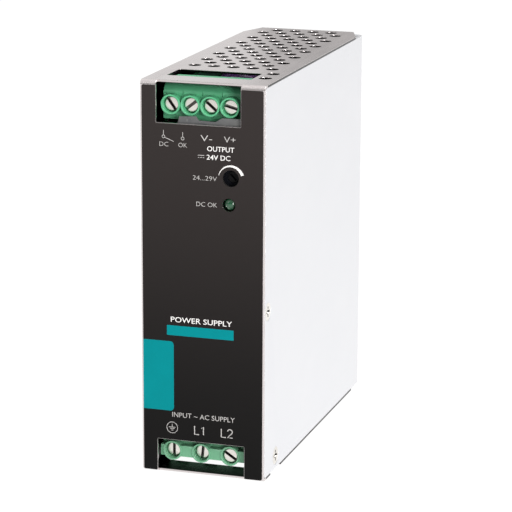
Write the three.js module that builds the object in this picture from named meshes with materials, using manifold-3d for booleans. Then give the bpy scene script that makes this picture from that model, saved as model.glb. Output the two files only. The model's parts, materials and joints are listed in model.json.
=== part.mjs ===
// DIN rail power supply: sheet-metal case, rising-clamp terminals, trimmer, boards and rail clip.
// Millimetres. +X is the right side, -Y the front with the label, +Z up, wires leave top and bottom.
import * as THREE from "three";
import { mergeVertices } from "three/addons/utils/BufferGeometryUtils.js";
import Module from "manifold-3d";

// Case
const WIDTH = 40;
const HEIGHT = 125.2;
const DEPTH = 113.5;
const SHEET = 0.8; // steel front, top and bottom
const PANEL = 1.5; // aluminium sides and back
const BEND = 1.5; // outer radius of the steel bends
const CORNER = 3; // outer radius of the back corners
const SEAM = 0.05; // gap where two case sheets meet
const LABEL = 0.25;
const LABEL_EDGE = 0.5; // label set in from the sides of the front
const LABEL_TOP = 1.5;
const LABEL_LOW = 0.6;
const CUT_LONG = 10.5; // cropped back corners of the steel
const CUT_WIDE = 3.6;
const BACK_LIP = 1; // aluminium lips under the steel at the back
const EAR_LONG = 12; // and the ears in the back corners
const EAR_WIDE = 3;

// Openings in the front, top and bottom
const TOP_NOTCH_LEFT = 5.1;
const TOP_NOTCH_RIGHT = 7.7;
const TOP_NOTCH_TALL = 13;
const LOW_NOTCH_LEFT = 5.1;
const LOW_NOTCH_RIGHT = 6.4;
const LOW_NOTCH_TALL = 11;
const BAR_END = 10; // back edge of the bar in front of each wire window
const WINDOW_END = 22;
const VENT_FIRST = 30.5;
const VENT_ROW = 6;
const VENT_PITCH = 6.4;
const VENT_BORE = 4;
const VENT_ACROSS = 5;
const VENT_BACK = 2.9; // least metal behind the last row
const CORNER_VENT_X = 4.3; // two lone vents beside the top window, from the right side
const CORNER_VENTS_Y = [13.9, 22.2];

// Fixing tabs and countersunk side screws
const TAB_LOW_Y = 12.8;
const TAB_LOW_Z = 4.9;
const TAB_LONG = 11;
const TAB_FRONT_Y = 4.1;
const TAB_FRONT_Z = 54.2;
const TAB_REACH = 3.7; // tab metal beyond the screw centre
const M3_SHANK = 1.45;
const M3_HOLE = 1.6;
const FLAT_HEAD = 2.9;
const FLAT_HEAD_DEEP = 1.4;
const SIDE_SCREW_LONG = 3.2;
const SIDE_FLUSH = 0.05; // side screw heads below the panel's face
const RAIL_FLUSH = 0.2; // rail screw heads below the seat
const CROSS_DEEP = 0.8;
const CROSS_REACH = 1.6; // half length and half width of a cross recess
const CROSS_HALF = 0.3;

// Terminals
const OUT_POLES = 4;
const OUT_PITCH = 6.35;
const OUT_FIRST = 8.9; // first pole from the left side
const OUT_DROP = 7.7; // screw centres below the top
const IN_POLES = 3;
const IN_PITCH = 9.5;
const IN_FIRST = 9.1;
const IN_RISE = 6.6;
const BOSS = 3.15;
const BOSS_BORE = 2.55;
const BOSS_FRONT = 2.3;
const HOUSING_FRONT = 5.2;
const HOUSING_BACK = 19;
const HOUSING_ROOM = 0.4; // gap between housing and case sheet
const HOUSING_WALL = 1.9; // housing above or below the clamp wells
const CREST = 6.2; // round of the output housing's upper front edge
const IN_HOUSING_LEFT = 3.9; // input housing beyond its outer poles
const IN_HOUSING_RIGHT = 4.6;
const IN_CHIN = 2.6; // input housing's front below the poles
const IN_FOOT = 5.4; // and its flat underside at the back
const LEDGE = 1.8; // half height of the ledge between the input bosses
const WELL = 5.1; // width of the clamp well of a pole
const CAGE_ROOM = 0.2;
const CAGE_TALL = 5.6;
const CAGE_BACK = 15;
const CAGE_NUT = 1.8;
const CAGE_WALL = 0.9;
const CAGE_SIDE = 0.6;
const CONTACT = 0.8;
const CONTACT_WIDE = 2.4;
const TAIL_WIDE = 1;
const ENTRY = 4.3; // wire entry
const CONTACT_FRONT = 9.9;
const SCREW_HEAD = 2.3;
const SCREW_HEAD_DEEP = 1.6;
const SLOT = 0.7;
const OUT_SLOTS = [-55, 38, -40, -15]; // as-left slot angles, degrees from level
const OUT_SINK = [1.6, 1.6, 1.6, 1.6]; // screw heads below the boss rim
const IN_SLOTS = [90, 84, -33];
const IN_SINK = [2, 2, 1];

// Front controls
const TRIM_X = 9.2;
const TRIM_DROP = 29;
const TRIM_BORE = 2.6;
const TRIM_BODY = 6.6;
const TRIM_FRONT = 2.6;
const ROTOR = 1.75;
const LAMP_X = 8.6;
const LAMP_DROP = 37.3;
const LAMP_BORE = 2.1;
const LAMP = 1.9;
const LAMP_FLANGE = 2.4;

// Boards
const BOARD = 1.6;
const BOARD_GAP = 2; // board to left panel
const BOARD_FRONT = 12;
const BOARD_BACK = 5.5;
const BOARD_ENDS = 4.5;
const CONTROL_FRONT = 9;
const CONTROL_TALL = 26;
const OUT_BOARD_RISE = 9; // output board's low edge above the trimmer
const IN_BOARD_RISE = 18; // input board's top edge above its poles
const FIX_IN = 5; // fixing holes from the board's edges
const FIX_HOLE = 1.6;
const FILM = 0.3;
const FILM_FRONT = 1.3;
const FILM_SIDE = 1.2; // film to right panel
const POST = 3;
const POST_NECK = 1.4;
const POST_BARB = 2.1;
const POST_TIP = 1.3;
const POST_SNAP = 0.9; // barb above the board
const LEAD = 0.4; // air between neighbouring components

// Rail clip for a 35 mm rail with 1 mm lips
const RAIL = 35;
const LIP = 1;
const LIP_ROOM = 0.35;
const HOOK = 1.8;
const GRIP = 1.8; // hook overlap on the rail lip
const SEAT_RELIEF = 0.3; // seat stepped back under the hook and the latch nose
const BASE_WIDE = 30;
const BASE_THICK = 5;
const BASE_OVER = 8;
const BASE_UNDER = 5.4;
const STOP_RISE = 6; // spring's lower stop above the base's low edge
const NOSE_BLOCK = 6; // height of the latch's nose block
const RAIL_SCREW_IN = 4; // rail screws from the base's sides
const RAIL_SCREW_UP = 6; // and above the rail's middle
const LATCH_WIDE = 16;
const LATCH_THICK = 2;
const LATCH_ROOM = 0.25;
const LATCH_HEAD = 2.6; // latch metal above its spring
const LATCH_DOWN = 10;
const LATCH_TRAVEL = 4;
const SPRING_R = 1.7;
const SPRING_WIRE = 0.5;
const SPRING_TURNS = 5;
const SPRING_LONG = 11;
const POST_TALL = 3;

// Derived positions
const RIGHT = WIDTH / 2;
const IN_RIGHT = RIGHT - PANEL;
const ROOF = HEIGHT - SHEET;
const BACK_IN = DEPTH - PANEL;
const STEEL_END = DEPTH - 0.3;
const TAB_X = IN_RIGHT - SEAM * 2;
const BOARD_X = -IN_RIGHT + BOARD_GAP + BOARD;
const FILM_X = IN_RIGHT - FILM_SIDE;
const CARD_RIGHT = FILM_X - 3.6;
const CARD_FRONT = HOUSING_BACK + 0.4;
const TRIM_Z = HEIGHT - TRIM_DROP;
const LAMP_Z = HEIGHT - LAMP_DROP;
const RAIL_Z = HEIGHT / 2;
const SEAT = DEPTH + BASE_THICK;
const HOOK_FRONT = SEAT + LIP + LIP_ROOM;
const OVERALL = HOOK_FRONT + HOOK;
const BASE_LOW = RAIL_Z - RAIL / 2 - BASE_UNDER;
const POST_TOP = BASE_LOW + STOP_RISE;
const BIG = 400;

const wasm = await Module();
wasm.setup();

function solid(geometry) {
  geometry.deleteAttribute("normal");
  geometry.deleteAttribute("uv");
  const merged = mergeVertices(geometry, 1e-4);
  return new wasm.Manifold(
    new wasm.Mesh({
      numProp: 3,
      vertProperties: merged.attributes.position.array,
      triVerts: new Uint32Array(merged.index.array),
    }),
  );
}

function box(x0, x1, y0, y1, z0, z1) {
  const g = new THREE.BoxGeometry(x1 - x0, y1 - y0, z1 - z0);
  g.translate((x0 + x1) / 2, (y0 + y1) / 2, (z0 + z1) / 2);
  return solid(g);
}

// A box whose two heights may be given in either order.
function upright(x0, x1, y0, y1, za, zb) {
  return box(x0, x1, y0, y1, Math.min(za, zb), Math.max(za, zb));
}

function extruded(points, length) {
  const shape = new THREE.Shape(points.map(([u, v]) => new THREE.Vector2(u, v)));
  return new THREE.ExtrudeGeometry(shape, { depth: length, bevelEnabled: false });
}

const basis = (a, b, c) => new THREE.Matrix4().makeBasis(a, b, c);
const AX = new THREE.Vector3(1, 0, 0);
const AY = new THREE.Vector3(0, 1, 0);
const AZ = new THREE.Vector3(0, 0, 1);

// Outline in (y, z), stretched along X.
function prismX(points, x0, x1) {
  const g = extruded(points, x1 - x0).applyMatrix4(basis(AY, AZ, AX));
  return solid(g.translate(x0, 0, 0));
}

// Outline in (x, z), stretched along Y.
function prismY(points, y0, y1) {
  const g = extruded(points, y1 - y0).applyMatrix4(basis(AX, AZ, AY.clone().negate()));
  return solid(g.translate(0, y1, 0));
}

// Outline in (x, y), stretched along Z.
function prismZ(points, z0, z1) {
  return solid(extruded(points, z1 - z0).translate(0, 0, z0));
}

function rodY(r, y0, y1, x, z, sides = 16, rEnd = r) {
  const g = new THREE.CylinderGeometry(rEnd, r, y1 - y0, sides);
  return solid(g.translate(x, (y0 + y1) / 2, z));
}

function rodX(r, x0, x1, y, z, sides = 16, rEnd = r) {
  const g = new THREE.CylinderGeometry(rEnd, r, x1 - x0, sides).rotateZ(-Math.PI / 2);
  return solid(g.translate((x0 + x1) / 2, y, z));
}

function rodZ(r, z0, z1, x, y, sides = 16) {
  const g = new THREE.CylinderGeometry(r, r, z1 - z0, sides).rotateX(Math.PI / 2);
  return solid(g.translate(x, y, (z0 + z1) / 2));
}

const union = (parts) => parts.reduce((a, b) => a.add(b));
const without = (body, cuts) => cuts.reduce((a, b) => a.subtract(b), body);

function arc(cx, cy, rx, ry, from, to, steps) {
  return Array.from({ length: steps + 1 }, (_, i) => {
    const a = THREE.MathUtils.degToRad(from + ((to - from) * i) / steps);
    return [cx + rx * Math.cos(a), cy + ry * Math.sin(a)];
  });
}

const group = new THREE.Group();

function add(name, body, colour, roughness, metalness) {
  const mesh = body.getMesh();
  const g = new THREE.BufferGeometry();
  g.setAttribute("position", new THREE.BufferAttribute(new Float32Array(mesh.vertProperties), 3));
  g.setIndex(new THREE.BufferAttribute(new Uint32Array(mesh.triVerts), 1));
  const flat = g.toNonIndexed();
  flat.computeVertexNormals();
  const look = new THREE.MeshStandardMaterial({ color: colour, roughness, metalness });
  const part = new THREE.Mesh(flat, look);
  part.name = name;
  group.add(part);
}

const steel = (name, body) => add(name, body, 0xb9b6b4, 0.35, 1);
const alloy = (name, body) => add(name, body, 0xdcdcdd, 0.45, 1);
const nickel = (name, body) => add(name, body, 0xd8d6d0, 0.28, 1);
const copper = (name, body) => add(name, body, 0xc9b27a, 0.4, 1);
const laminate = (name, body) => add(name, body, 0x1f5a3a, 0.55, 0);
const dark = (name, body) => add(name, body, 0x26262a, 0.5, 0);

const outPoleX = (i) => -RIGHT + OUT_FIRST + i * OUT_PITCH;
const inPoleX = (i) => -RIGHT + IN_FIRST + i * IN_PITCH;
const OUT_Z = HEIGHT - OUT_DROP;
const IN_Z = IN_RISE;

// Case ---------------------------------------------------------------------------------------

function wrapProfile() {
  const inner = BEND - SHEET;
  return [
    [STEEL_END, HEIGHT],
    ...arc(BEND, HEIGHT - BEND, BEND, BEND, 90, 180, 3),
    ...arc(BEND, BEND, BEND, BEND, 180, 270, 3),
    [STEEL_END, 0],
    [STEEL_END, SHEET],
    ...arc(BEND, BEND, inner, inner, 270, 180, 3),
    ...arc(BEND, HEIGHT - BEND, inner, inner, 180, 90, 3),
    [STEEL_END, ROOF],
  ];
}

function ventCentres() {
  const rows = Math.floor((DEPTH - VENT_BACK - VENT_BORE / 2 - VENT_FIRST) / VENT_ROW) + 1;
  const centres = [];
  for (let row = 0; row < rows; row++) {
    const across = VENT_ACROSS - (row % 2);
    for (let i = 0; i < across; i++) {
      centres.push([(i - (across - 1) / 2) * VENT_PITCH, VENT_FIRST + row * VENT_ROW]);
    }
  }
  for (const y of CORNER_VENTS_Y) centres.push([RIGHT - CORNER_VENT_X, y]);
  return centres;
}

function ventCuts() {
  const radius = VENT_BORE / 2;
  const cuts = [];
  for (const [x, y] of ventCentres()) {
    cuts.push(rodZ(radius, ROOF - 1, HEIGHT + 1, x, y, 8));
    cuts.push(rodZ(radius, -1, SHEET + 1, x, y, 8));
  }
  return cuts;
}

function windowCuts() {
  const topRight = RIGHT - TOP_NOTCH_RIGHT;
  const topFloor = HEIGHT - TOP_NOTCH_TALL;
  const lowRight = RIGHT - LOW_NOTCH_RIGHT;
  return [
    box(-RIGHT + TOP_NOTCH_LEFT, topRight, -1, BEND, topFloor, HEIGHT + 1),
    box(-RIGHT + TOP_NOTCH_LEFT, topRight, BAR_END, WINDOW_END, ROOF - 1, HEIGHT + 1),
    box(-RIGHT + LOW_NOTCH_LEFT, lowRight, -1, BEND, -1, LOW_NOTCH_TALL),
    box(-RIGHT + LOW_NOTCH_LEFT, lowRight, BAR_END, WINDOW_END, -1, SHEET + 1),
  ];
}

function cornerCuts() {
  return [-1, 1].map((side) => {
    const start = [side * (RIGHT + 0.01), STEEL_END - CUT_LONG];
    const inset = [side * (RIGHT - CUT_WIDE), STEEL_END + 0.01];
    const far = [side * (RIGHT + 1), STEEL_END + 1];
    const outline = side > 0 ? [start, far, inset] : [start, inset, far];
    return prismZ(outline, -1, HEIGHT + 1);
  });
}

// Sheet cut back beside the tab that is bent up from the bottom.
function tabBlank(side) {
  const a = side > 0 ? TAB_X : -RIGHT - 1;
  const b = side > 0 ? RIGHT + 1 : -TAB_X;
  const y0 = TAB_LOW_Y - TAB_LONG / 2;
  return box(a, b, y0, y0 + TAB_LONG, -1, SHEET + 0.5);
}

// Tabs behind the side panels that take the side screws.
function tabs(side) {
  const a = side > 0 ? TAB_X - SHEET : -TAB_X;
  const b = a + SHEET;
  const y0 = TAB_LOW_Y - TAB_LONG / 2;
  const z0 = TAB_FRONT_Z - TAB_LONG / 2;
  return [
    box(a, b, y0, y0 + TAB_LONG, 0, TAB_LOW_Z + TAB_REACH),
    box(a, b, 0, TAB_FRONT_Y + TAB_REACH, z0, z0 + TAB_LONG),
  ];
}

function sideScrewCentres() {
  return [
    ["front", TAB_FRONT_Y, TAB_FRONT_Z],
    ["low", TAB_LOW_Y, TAB_LOW_Z],
  ];
}

function frontWrap() {
  const sheet = prismX(wrapProfile(), -RIGHT, RIGHT);
  const trimmed = without(sheet, [
    ...windowCuts(),
    ...cornerCuts(),
    tabBlank(-1),
    tabBlank(1),
  ]);
  const tabbed = union([trimmed, ...tabs(-1), ...tabs(1)]);
  const screwHoles = sideScrewCentres().map(([, y, z]) => rodX(M3_HOLE, -BIG, BIG, y, z, 12));
  return without(tabbed, [
    ...screwHoles,
    rodY(TRIM_BORE, -1, SHEET + 1, TRIM_X, TRIM_Z, 24),
    rodY(LAMP_BORE, -1, SHEET + 1, LAMP_X, LAMP_Z, 20),
    ...ventCuts(),
  ]);
}

function shellOutline() {
  const r = CORNER;
  const q = CORNER - PANEL;
  const front = SHEET + SEAM;
  return [
    [-RIGHT, front],
    [-IN_RIGHT, front],
    ...arc(-IN_RIGHT + q, BACK_IN - q, q, q, 180, 90, 4),
    ...arc(IN_RIGHT - q, BACK_IN - q, q, q, 90, 0, 4),
    [IN_RIGHT, front],
    [RIGHT, front],
    ...arc(RIGHT - r, DEPTH - r, r, r, 0, 90, 5),
    ...arc(-RIGHT + r, DEPTH - r, r, r, 90, 180, 5),
  ];
}

function countersink(side, y, z) {
  const outer = side * RIGHT;
  const deep = side * (RIGHT - FLAT_HEAD_DEEP);
  const wide = FLAT_HEAD + SEAM * 2;
  const thin = M3_HOLE;
  const lead = side * (RIGHT + 0.2);
  const cone =
    side > 0
      ? rodX(thin, deep, outer, y, z, 20, wide)
      : rodX(wide, outer, deep, y, z, 20, thin);
  const mouth = side > 0 ? rodX(wide, outer, lead, y, z, 20) : rodX(wide, lead, outer, y, z, 20);
  return union([cone, mouth]);
}

function railScrewCentres() {
  const x = BASE_WIDE / 2 - RAIL_SCREW_IN;
  return [-1, 1].map((side) => [side * x, RAIL_Z + RAIL_SCREW_UP]);
}

function bodyShell() {
  const low = SHEET + SEAM;
  const high = ROOF - SEAM;
  const u = prismZ(shellOutline(), low, high);
  const lipRight = IN_RIGHT - 0.3;
  const back = BACK_IN + 0.1;
  const lips = [low, high - PANEL].flatMap((z) => [
    box(-lipRight, lipRight, BACK_IN - BACK_LIP, back, z, z + PANEL),
    box(-lipRight, -lipRight + EAR_WIDE, DEPTH - EAR_LONG, back, z, z + PANEL),
    box(lipRight - EAR_WIDE, lipRight, DEPTH - EAR_LONG, back, z, z + PANEL),
  ]);
  const cuts = [];
  for (const [, y, z] of sideScrewCentres()) {
    cuts.push(rodX(M3_HOLE, -BIG, BIG, y, z, 12));
    for (const side of [-1, 1]) cuts.push(countersink(side, y, z));
  }
  for (const [x, z] of railScrewCentres()) {
    cuts.push(rodY(M3_HOLE, BACK_IN - 1, DEPTH + 1, x, z, 12));
  }
  // Front corners cropped clear of the inside of the steel bends.
  const crop = BEND * 1.6;
  cuts.push(prismX([[0, 0], [crop, 0], [0, crop]], -BIG, BIG));
  cuts.push(prismX([[0, HEIGHT], [0, HEIGHT - crop], [crop, HEIGHT]], -BIG, BIG));
  return without(union([u, ...lips]), cuts);
}

function frontLabel() {
  const edge = RIGHT - LABEL_EDGE;
  const plate = box(-edge, edge, -LABEL, 0, LABEL_LOW, HEIGHT - LABEL_TOP);
  const room = 0.15;
  const notchFloor = HEIGHT - TOP_NOTCH_TALL - room;
  return without(plate, [
    box(
      -RIGHT + TOP_NOTCH_LEFT - room,
      RIGHT - TOP_NOTCH_RIGHT + room,
      -1,
      1,
      notchFloor,
      HEIGHT + 1,
    ),
    box(
      -RIGHT + LOW_NOTCH_LEFT - room,
      RIGHT - LOW_NOTCH_RIGHT + room,
      -1,
      1,
      -1,
      LOW_NOTCH_TALL + room,
    ),
    rodY(TRIM_BORE, -1, 1, TRIM_X, TRIM_Z, 24),
    rodY(LAMP_BORE, -1, 1, LAMP_X, LAMP_Z, 20),
  ]);
}

// Flat-head screw lying along X, head flush with the side panel.
function sideScrew(side, y, z) {
  const at = (d) => side * (RIGHT - d);
  const ordered = (r0, d0, r1, d1, sides) =>
    side > 0
      ? rodX(r1, at(d1), at(d0), y, z, sides, r0)
      : rodX(r0, at(d0), at(d1), y, z, sides, r1);
  const head = ordered(FLAT_HEAD, SIDE_FLUSH, M3_SHANK, FLAT_HEAD_DEEP, 20);
  const shank = ordered(M3_SHANK, FLAT_HEAD_DEEP - 0.1, M3_SHANK, SIDE_SCREW_LONG, 12);
  const floor = at(SIDE_FLUSH + CROSS_DEEP);
  const a = Math.min(at(-1), floor);
  const b = Math.max(at(-1), floor);
  const cross = [
    box(a, b, y - CROSS_REACH, y + CROSS_REACH, z - CROSS_HALF, z + CROSS_HALF),
    box(a, b, y - CROSS_HALF, y + CROSS_HALF, z - CROSS_REACH, z + CROSS_REACH),
  ];
  return without(union([head, shank]), cross);
}

// Film behind the front, folded back along the right panel.
function insulationSheet() {
  const low = LOW_NOTCH_TALL + 3;
  const top = HEIGHT - TOP_NOTCH_TALL;
  const back = FILM_FRONT + FILM;
  const left = -IN_RIGHT + 1.1;
  const outline = [
    [left, low],
    [FILM_X, low],
    [FILM_X, top + 1.2],
    [TRIM_X + 2.6, top + 2.2],
    [TRIM_X - 3.2, top + 2.2],
    [TRIM_X - 5.4, top + 0.9],
    [TRIM_X - 10.8, top + 1.1],
    [TRIM_X - 11.6, top + 2.3],
    [TRIM_X - 17, top + 2],
    [TRIM_X - 18, top - 2],
    [left, top - 2],
  ];
  const front = prismY(outline, FILM_FRONT, back);
  const side = box(FILM_X - FILM, FILM_X, FILM_FRONT, BACK_IN - 4, low, top - 4);
  const cuts = [
    rodY(TRIM_BORE + 1, -1, 4, TRIM_X, TRIM_Z, 16),
    rodY(LAMP_FLANGE + 0.6, -1, 4, LAMP_X, LAMP_Z, 16),
    rodX(M3_SHANK + 1, 0, BIG, TAB_FRONT_Y, TAB_FRONT_Z, 12),
    box(-BIG, -IN_RIGHT + 2.6, -1, 4, TAB_FRONT_Z - 7, TAB_FRONT_Z + 7),
  ];
  return without(union([front, side]), cuts);
}

// Terminals ----------------------------------------------------------------------------------

// A pole's clamp well, wire entry and screw bore. up is 1 where wires enter from above.
function poleCuts(x, z, up) {
  const half = WELL / 2;
  const floor = z - up * (CAGE_TALL / 2 + CAGE_ROOM);
  const open = z + up * 30;
  const wellFront = HOUSING_FRONT + 0.4;
  const wellBack = CAGE_BACK + CAGE_ROOM;
  const wellTop = floor + up * (CAGE_TALL + CAGE_ROOM * 1.5);
  const grooveLow = floor - up * (CONTACT + 0.02);
  const grooveTop = floor + up * 0.1;
  const entryFront = CONTACT_FRONT + CONTACT + 0.1;
  const [entry, groove] = [ENTRY / 2, CONTACT_WIDE / 2 + 0.05];
  return [
    rodY(BOSS_BORE, -1, wellFront + 0.5, x, z, 20),
    upright(x - half, x + half, wellFront, wellBack, floor, wellTop),
    upright(x - entry, x + entry, entryFront, wellBack, z, open),
    upright(x - groove, x + groove, CONTACT_FRONT - 0.05, BIG, grooveLow, grooveTop),
  ];
}

function outputTerminal() {
  const low = OUT_Z - CAGE_TALL / 2 - CAGE_ROOM - HOUSING_WALL;
  const high = ROOF - HOUSING_ROOM;
  const shoulder = OUT_Z + BOSS - 0.2;
  const x0 = outPoleX(0) - OUT_PITCH / 2;
  const x1 = outPoleX(OUT_POLES - 1) + OUT_PITCH / 2;
  const outline = [
    [HOUSING_FRONT, low],
    [HOUSING_BACK, low],
    [HOUSING_BACK, high],
    ...arc(HOUSING_FRONT + CREST, shoulder, CREST, high - shoulder, 90, 180, 6),
  ];
  const parts = [prismX(outline, x0, x1)];
  const cuts = [];
  for (let i = 0; i < OUT_POLES; i++) {
    parts.push(rodY(BOSS, BOSS_FRONT, HOUSING_FRONT + 0.3, outPoleX(i), OUT_Z, 20));
    cuts.push(...poleCuts(outPoleX(i), OUT_Z, 1));
  }
  return without(union(parts), cuts);
}

function inputTerminal() {
  const high = IN_Z + CAGE_TALL / 2 + CAGE_ROOM + HOUSING_WALL;
  const low = SHEET + HOUSING_ROOM;
  const x0 = inPoleX(0) - IN_HOUSING_LEFT;
  const x1 = inPoleX(IN_POLES - 1) + IN_HOUSING_RIGHT;
  const outline = [
    [HOUSING_FRONT, IN_Z - IN_CHIN],
    [HOUSING_BACK - IN_FOOT, low],
    [HOUSING_BACK, low],
    [HOUSING_BACK, high],
    [HOUSING_FRONT, high],
  ];
  const shelf = BOSS_FRONT + 0.3;
  const ledge = box(x0, x1, shelf, HOUSING_FRONT + 0.2, IN_Z - LEDGE, IN_Z + LEDGE);
  const parts = [prismX(outline, x0, x1), ledge];
  const cuts = [];
  for (let i = 0; i < IN_POLES; i++) {
    parts.push(rodY(BOSS, BOSS_FRONT, HOUSING_FRONT + 0.3, inPoleX(i), IN_Z, 20));
    cuts.push(...poleCuts(inPoleX(i), IN_Z, -1));
  }
  return without(union(parts), cuts);
}

// Slotted clamp screw; its head is sunk below the boss rim and its tip rests on the contact.
function clampScrew(x, z, slotAngle, sink) {
  const face = BOSS_FRONT + sink;
  const head = rodY(SCREW_HEAD, face, face + SCREW_HEAD_DEEP, 0, 0, 18);
  const shank = rodY(M3_SHANK, face + SCREW_HEAD_DEEP - 0.1, CONTACT_FRONT - 0.05, 0, 0, 12);
  const slot = box(-5, 5, face - 1, face + 0.75, -SLOT / 2, SLOT / 2);
  return union([head, shank]).subtract(slot).rotate([0, -slotAngle, 0]).translate([x, 0, z]);
}

// Box clamp around the wire, open along Z, tapped in its front wall.
function cage(x, z) {
  const half = WELL / 2 - CAGE_ROOM;
  const front = CONTACT_FRONT - 0.1 - CAGE_NUT;
  const low = z - CAGE_TALL / 2;
  const high = z + CAGE_TALL / 2;
  const body = box(x - half, x + half, front, CAGE_BACK, low, high);
  const inside = half - CAGE_SIDE;
  return without(body, [
    box(x - inside, x + inside, front + CAGE_NUT, CAGE_BACK - CAGE_WALL, low - 1, high + 1),
    rodY(M3_HOLE, front - 1, front + CAGE_NUT + 0.5, x, z, 12),
  ]);
}

// Fixed strip the wire is clamped against, with the solder tail that goes back to its board.
function contact(x, z, up) {
  const floor = z - up * (CAGE_TALL / 2 + CAGE_ROOM);
  const under = floor - up * CONTACT;
  const top = z + up * (CAGE_TALL / 2 - 0.2);
  const tail = CARD_FRONT + BOARD + 1.2;
  const y = CONTACT_FRONT;
  const [half, pin] = [CONTACT_WIDE / 2, TAIL_WIDE / 2];
  return union([
    upright(x - half, x + half, y, y + CONTACT, under, top),
    upright(x - half, x + half, y, CARD_FRONT - 0.2, under, floor),
    upright(x - pin, x + pin, y, tail, under, floor),
  ]);
}

function contactHoles(poleX, count, z, up) {
  const floor = z - up * (CAGE_TALL / 2 + CAGE_ROOM);
  const under = floor - up * CONTACT;
  return Array.from({ length: count }, (_, i) => {
    const x = poleX(i);
    const a = Math.min(under, floor) - 0.05;
    const pin = TAIL_WIDE / 2 + 0.05;
    return box(x - pin, x + pin, CARD_FRONT - 1, CARD_FRONT + BOARD + 1, a, a + CONTACT + 0.1);
  });
}

// Boards -------------------------------------------------------------------------------------

const BOARD_LOW = BOARD_ENDS;
const BOARD_HIGH = HEIGHT - BOARD_ENDS;
const BOARD_END = BACK_IN - BOARD_BACK;
const COMPONENT_FRONT = CARD_FRONT + BOARD + 2.4;

function postCentres() {
  const y0 = COMPONENT_FRONT + 1;
  const y1 = BOARD_END - FIX_IN;
  const z0 = BOARD_LOW + FIX_IN;
  const z1 = BOARD_HIGH - FIX_IN;
  return [[y0, z0], [y0, z1], [y1, z0], [y1, z1]];
}

function mainBoard() {
  const plate = box(BOARD_X - BOARD, BOARD_X, BOARD_FRONT, BOARD_END, BOARD_LOW, BOARD_HIGH);
  return without(plate, postCentres().map(([y, z]) => rodX(FIX_HOLE, -BIG, BIG, y, z, 12)));
}

function outputBoard() {
  const low = TRIM_Z + OUT_BOARD_RISE;
  const plate = box(BOARD_X, CARD_RIGHT, CARD_FRONT, CARD_FRONT + BOARD, low, ROOF - 1);
  return without(plate, contactHoles(outPoleX, OUT_POLES, OUT_Z, 1));
}

function inputBoard() {
  const top = IN_Z + IN_BOARD_RISE;
  const plate = box(BOARD_X, CARD_RIGHT, CARD_FRONT, CARD_FRONT + BOARD, SHEET + 1, top);
  return without(plate, contactHoles(inPoleX, IN_POLES, IN_Z, -1));
}

// Small upright board behind the trimmer and the lamp, notched to straddle the main board's edge.
function controlBoard() {
  const low = LAMP_Z - CONTROL_TALL / 3;
  const y1 = CONTROL_FRONT + BOARD;
  const card = box(BOARD_X - BOARD, CARD_RIGHT, CONTROL_FRONT, y1, low, low + CONTROL_TALL);
  const tongue = box(BOARD_X, BOARD_X + 6, y1 - 0.1, BOARD_FRONT + 3, low + 4, low + 5.5);
  return union([card, tongue]);
}

// Snap-in post between the left panel and the main board.
function boardPost(y, z) {
  return union([
    rodX(POST, -IN_RIGHT, BOARD_X - BOARD, y, z, 10),
    rodX(POST_NECK, BOARD_X - BOARD - 0.2, BOARD_X + 0.1, y, z, 10),
    rodX(POST_BARB, BOARD_X, BOARD_X + POST_SNAP, y, z, 10, POST_TIP),
  ]);
}

function trimmerBody() {
  const half = TRIM_BODY / 2;
  const body = box(
    TRIM_X - half, TRIM_X + half, TRIM_FRONT, CONTROL_FRONT, TRIM_Z - half, TRIM_Z + half,
  );
  return body.subtract(rodY(ROTOR + 0.12, -1, TRIM_FRONT + 2.6, TRIM_X, TRIM_Z, 20));
}

function trimmerRotor() {
  const rotor = rodY(ROTOR, TRIM_FRONT - 0.1, TRIM_FRONT + 2.5, 0, 0, 20);
  const cross = [box(-1.3, 1.3, -1, TRIM_FRONT + 0.7, -0.3, 0.3)];
  return without(rotor, cross).rotate([0, 45, 0]).translate([TRIM_X, 0, TRIM_Z]);
}

function readyLamp() {
  const dome = new THREE.LatheGeometry(
    [
      [0, 5],
      [LAMP_FLANGE, 5],
      [LAMP_FLANGE, 4],
      [LAMP, 4],
      [LAMP, -1.4],
      ...arc(0, -1.4, LAMP, 1.3, 0, -90, 4).slice(1),
    ].map(([r, y]) => new THREE.Vector2(Math.max(r, 0), -y)),
    16,
  );
  const body = solid(dome.rotateX(Math.PI).translate(LAMP_X, 3, LAMP_Z));
  const legs = [-1.27, 1.27].map((dx) =>
    box(LAMP_X + dx - 0.25, LAMP_X + dx + 0.25, 7.8, CONTROL_FRONT, LAMP_Z - 0.25, LAMP_Z + 0.25),
  );
  return union([body, ...legs]);
}

// Components stand on the right face of the main board in bays set out from its size.
const BAY_Y = (f) => COMPONENT_FRONT + f * (BOARD_END - 1 - COMPONENT_FRONT);
const BAY_Z = (f) => BOARD_LOW + 1 + f * (BOARD_HIGH - BOARD_LOW - 2);
const TALLEST = FILM_X - FILM - 0.5;

function bay(fy0, fy1, fz0, fz1, height = 1) {
  return {
    y0: BAY_Y(fy0) + LEAD,
    y1: BAY_Y(fy1) - LEAD,
    z0: BAY_Z(fz0) + LEAD,
    z1: BAY_Z(fz1) - LEAD,
    x0: BOARD_X,
    x1: BOARD_X + height * (TALLEST - BOARD_X),
  };
}

const block = (b) => box(b.x0, b.x1, b.y0, b.y1, b.z0, b.z1);

function can(b) {
  const r = Math.min(b.y1 - b.y0, b.z1 - b.z0) / 2;
  const y = (b.y0 + b.y1) / 2;
  const z = (b.z0 + b.z1) / 2;
  const groove = rodX(r + 1, b.x0 + 2.2, b.x0 + 3, y, z, 20).subtract(
    rodX(r - 0.5, b.x0 + 2, b.x0 + 3.2, y, z, 20),
  );
  return rodX(r, b.x0, b.x1, y, z, 20).subtract(groove);
}

const TRANSFORMER = bay(0.36, 0.78, 0.42, 0.7, 0.94);
const CHOKE = bay(0.02, 0.28, 0.2, 0.4, 0.8);

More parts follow.
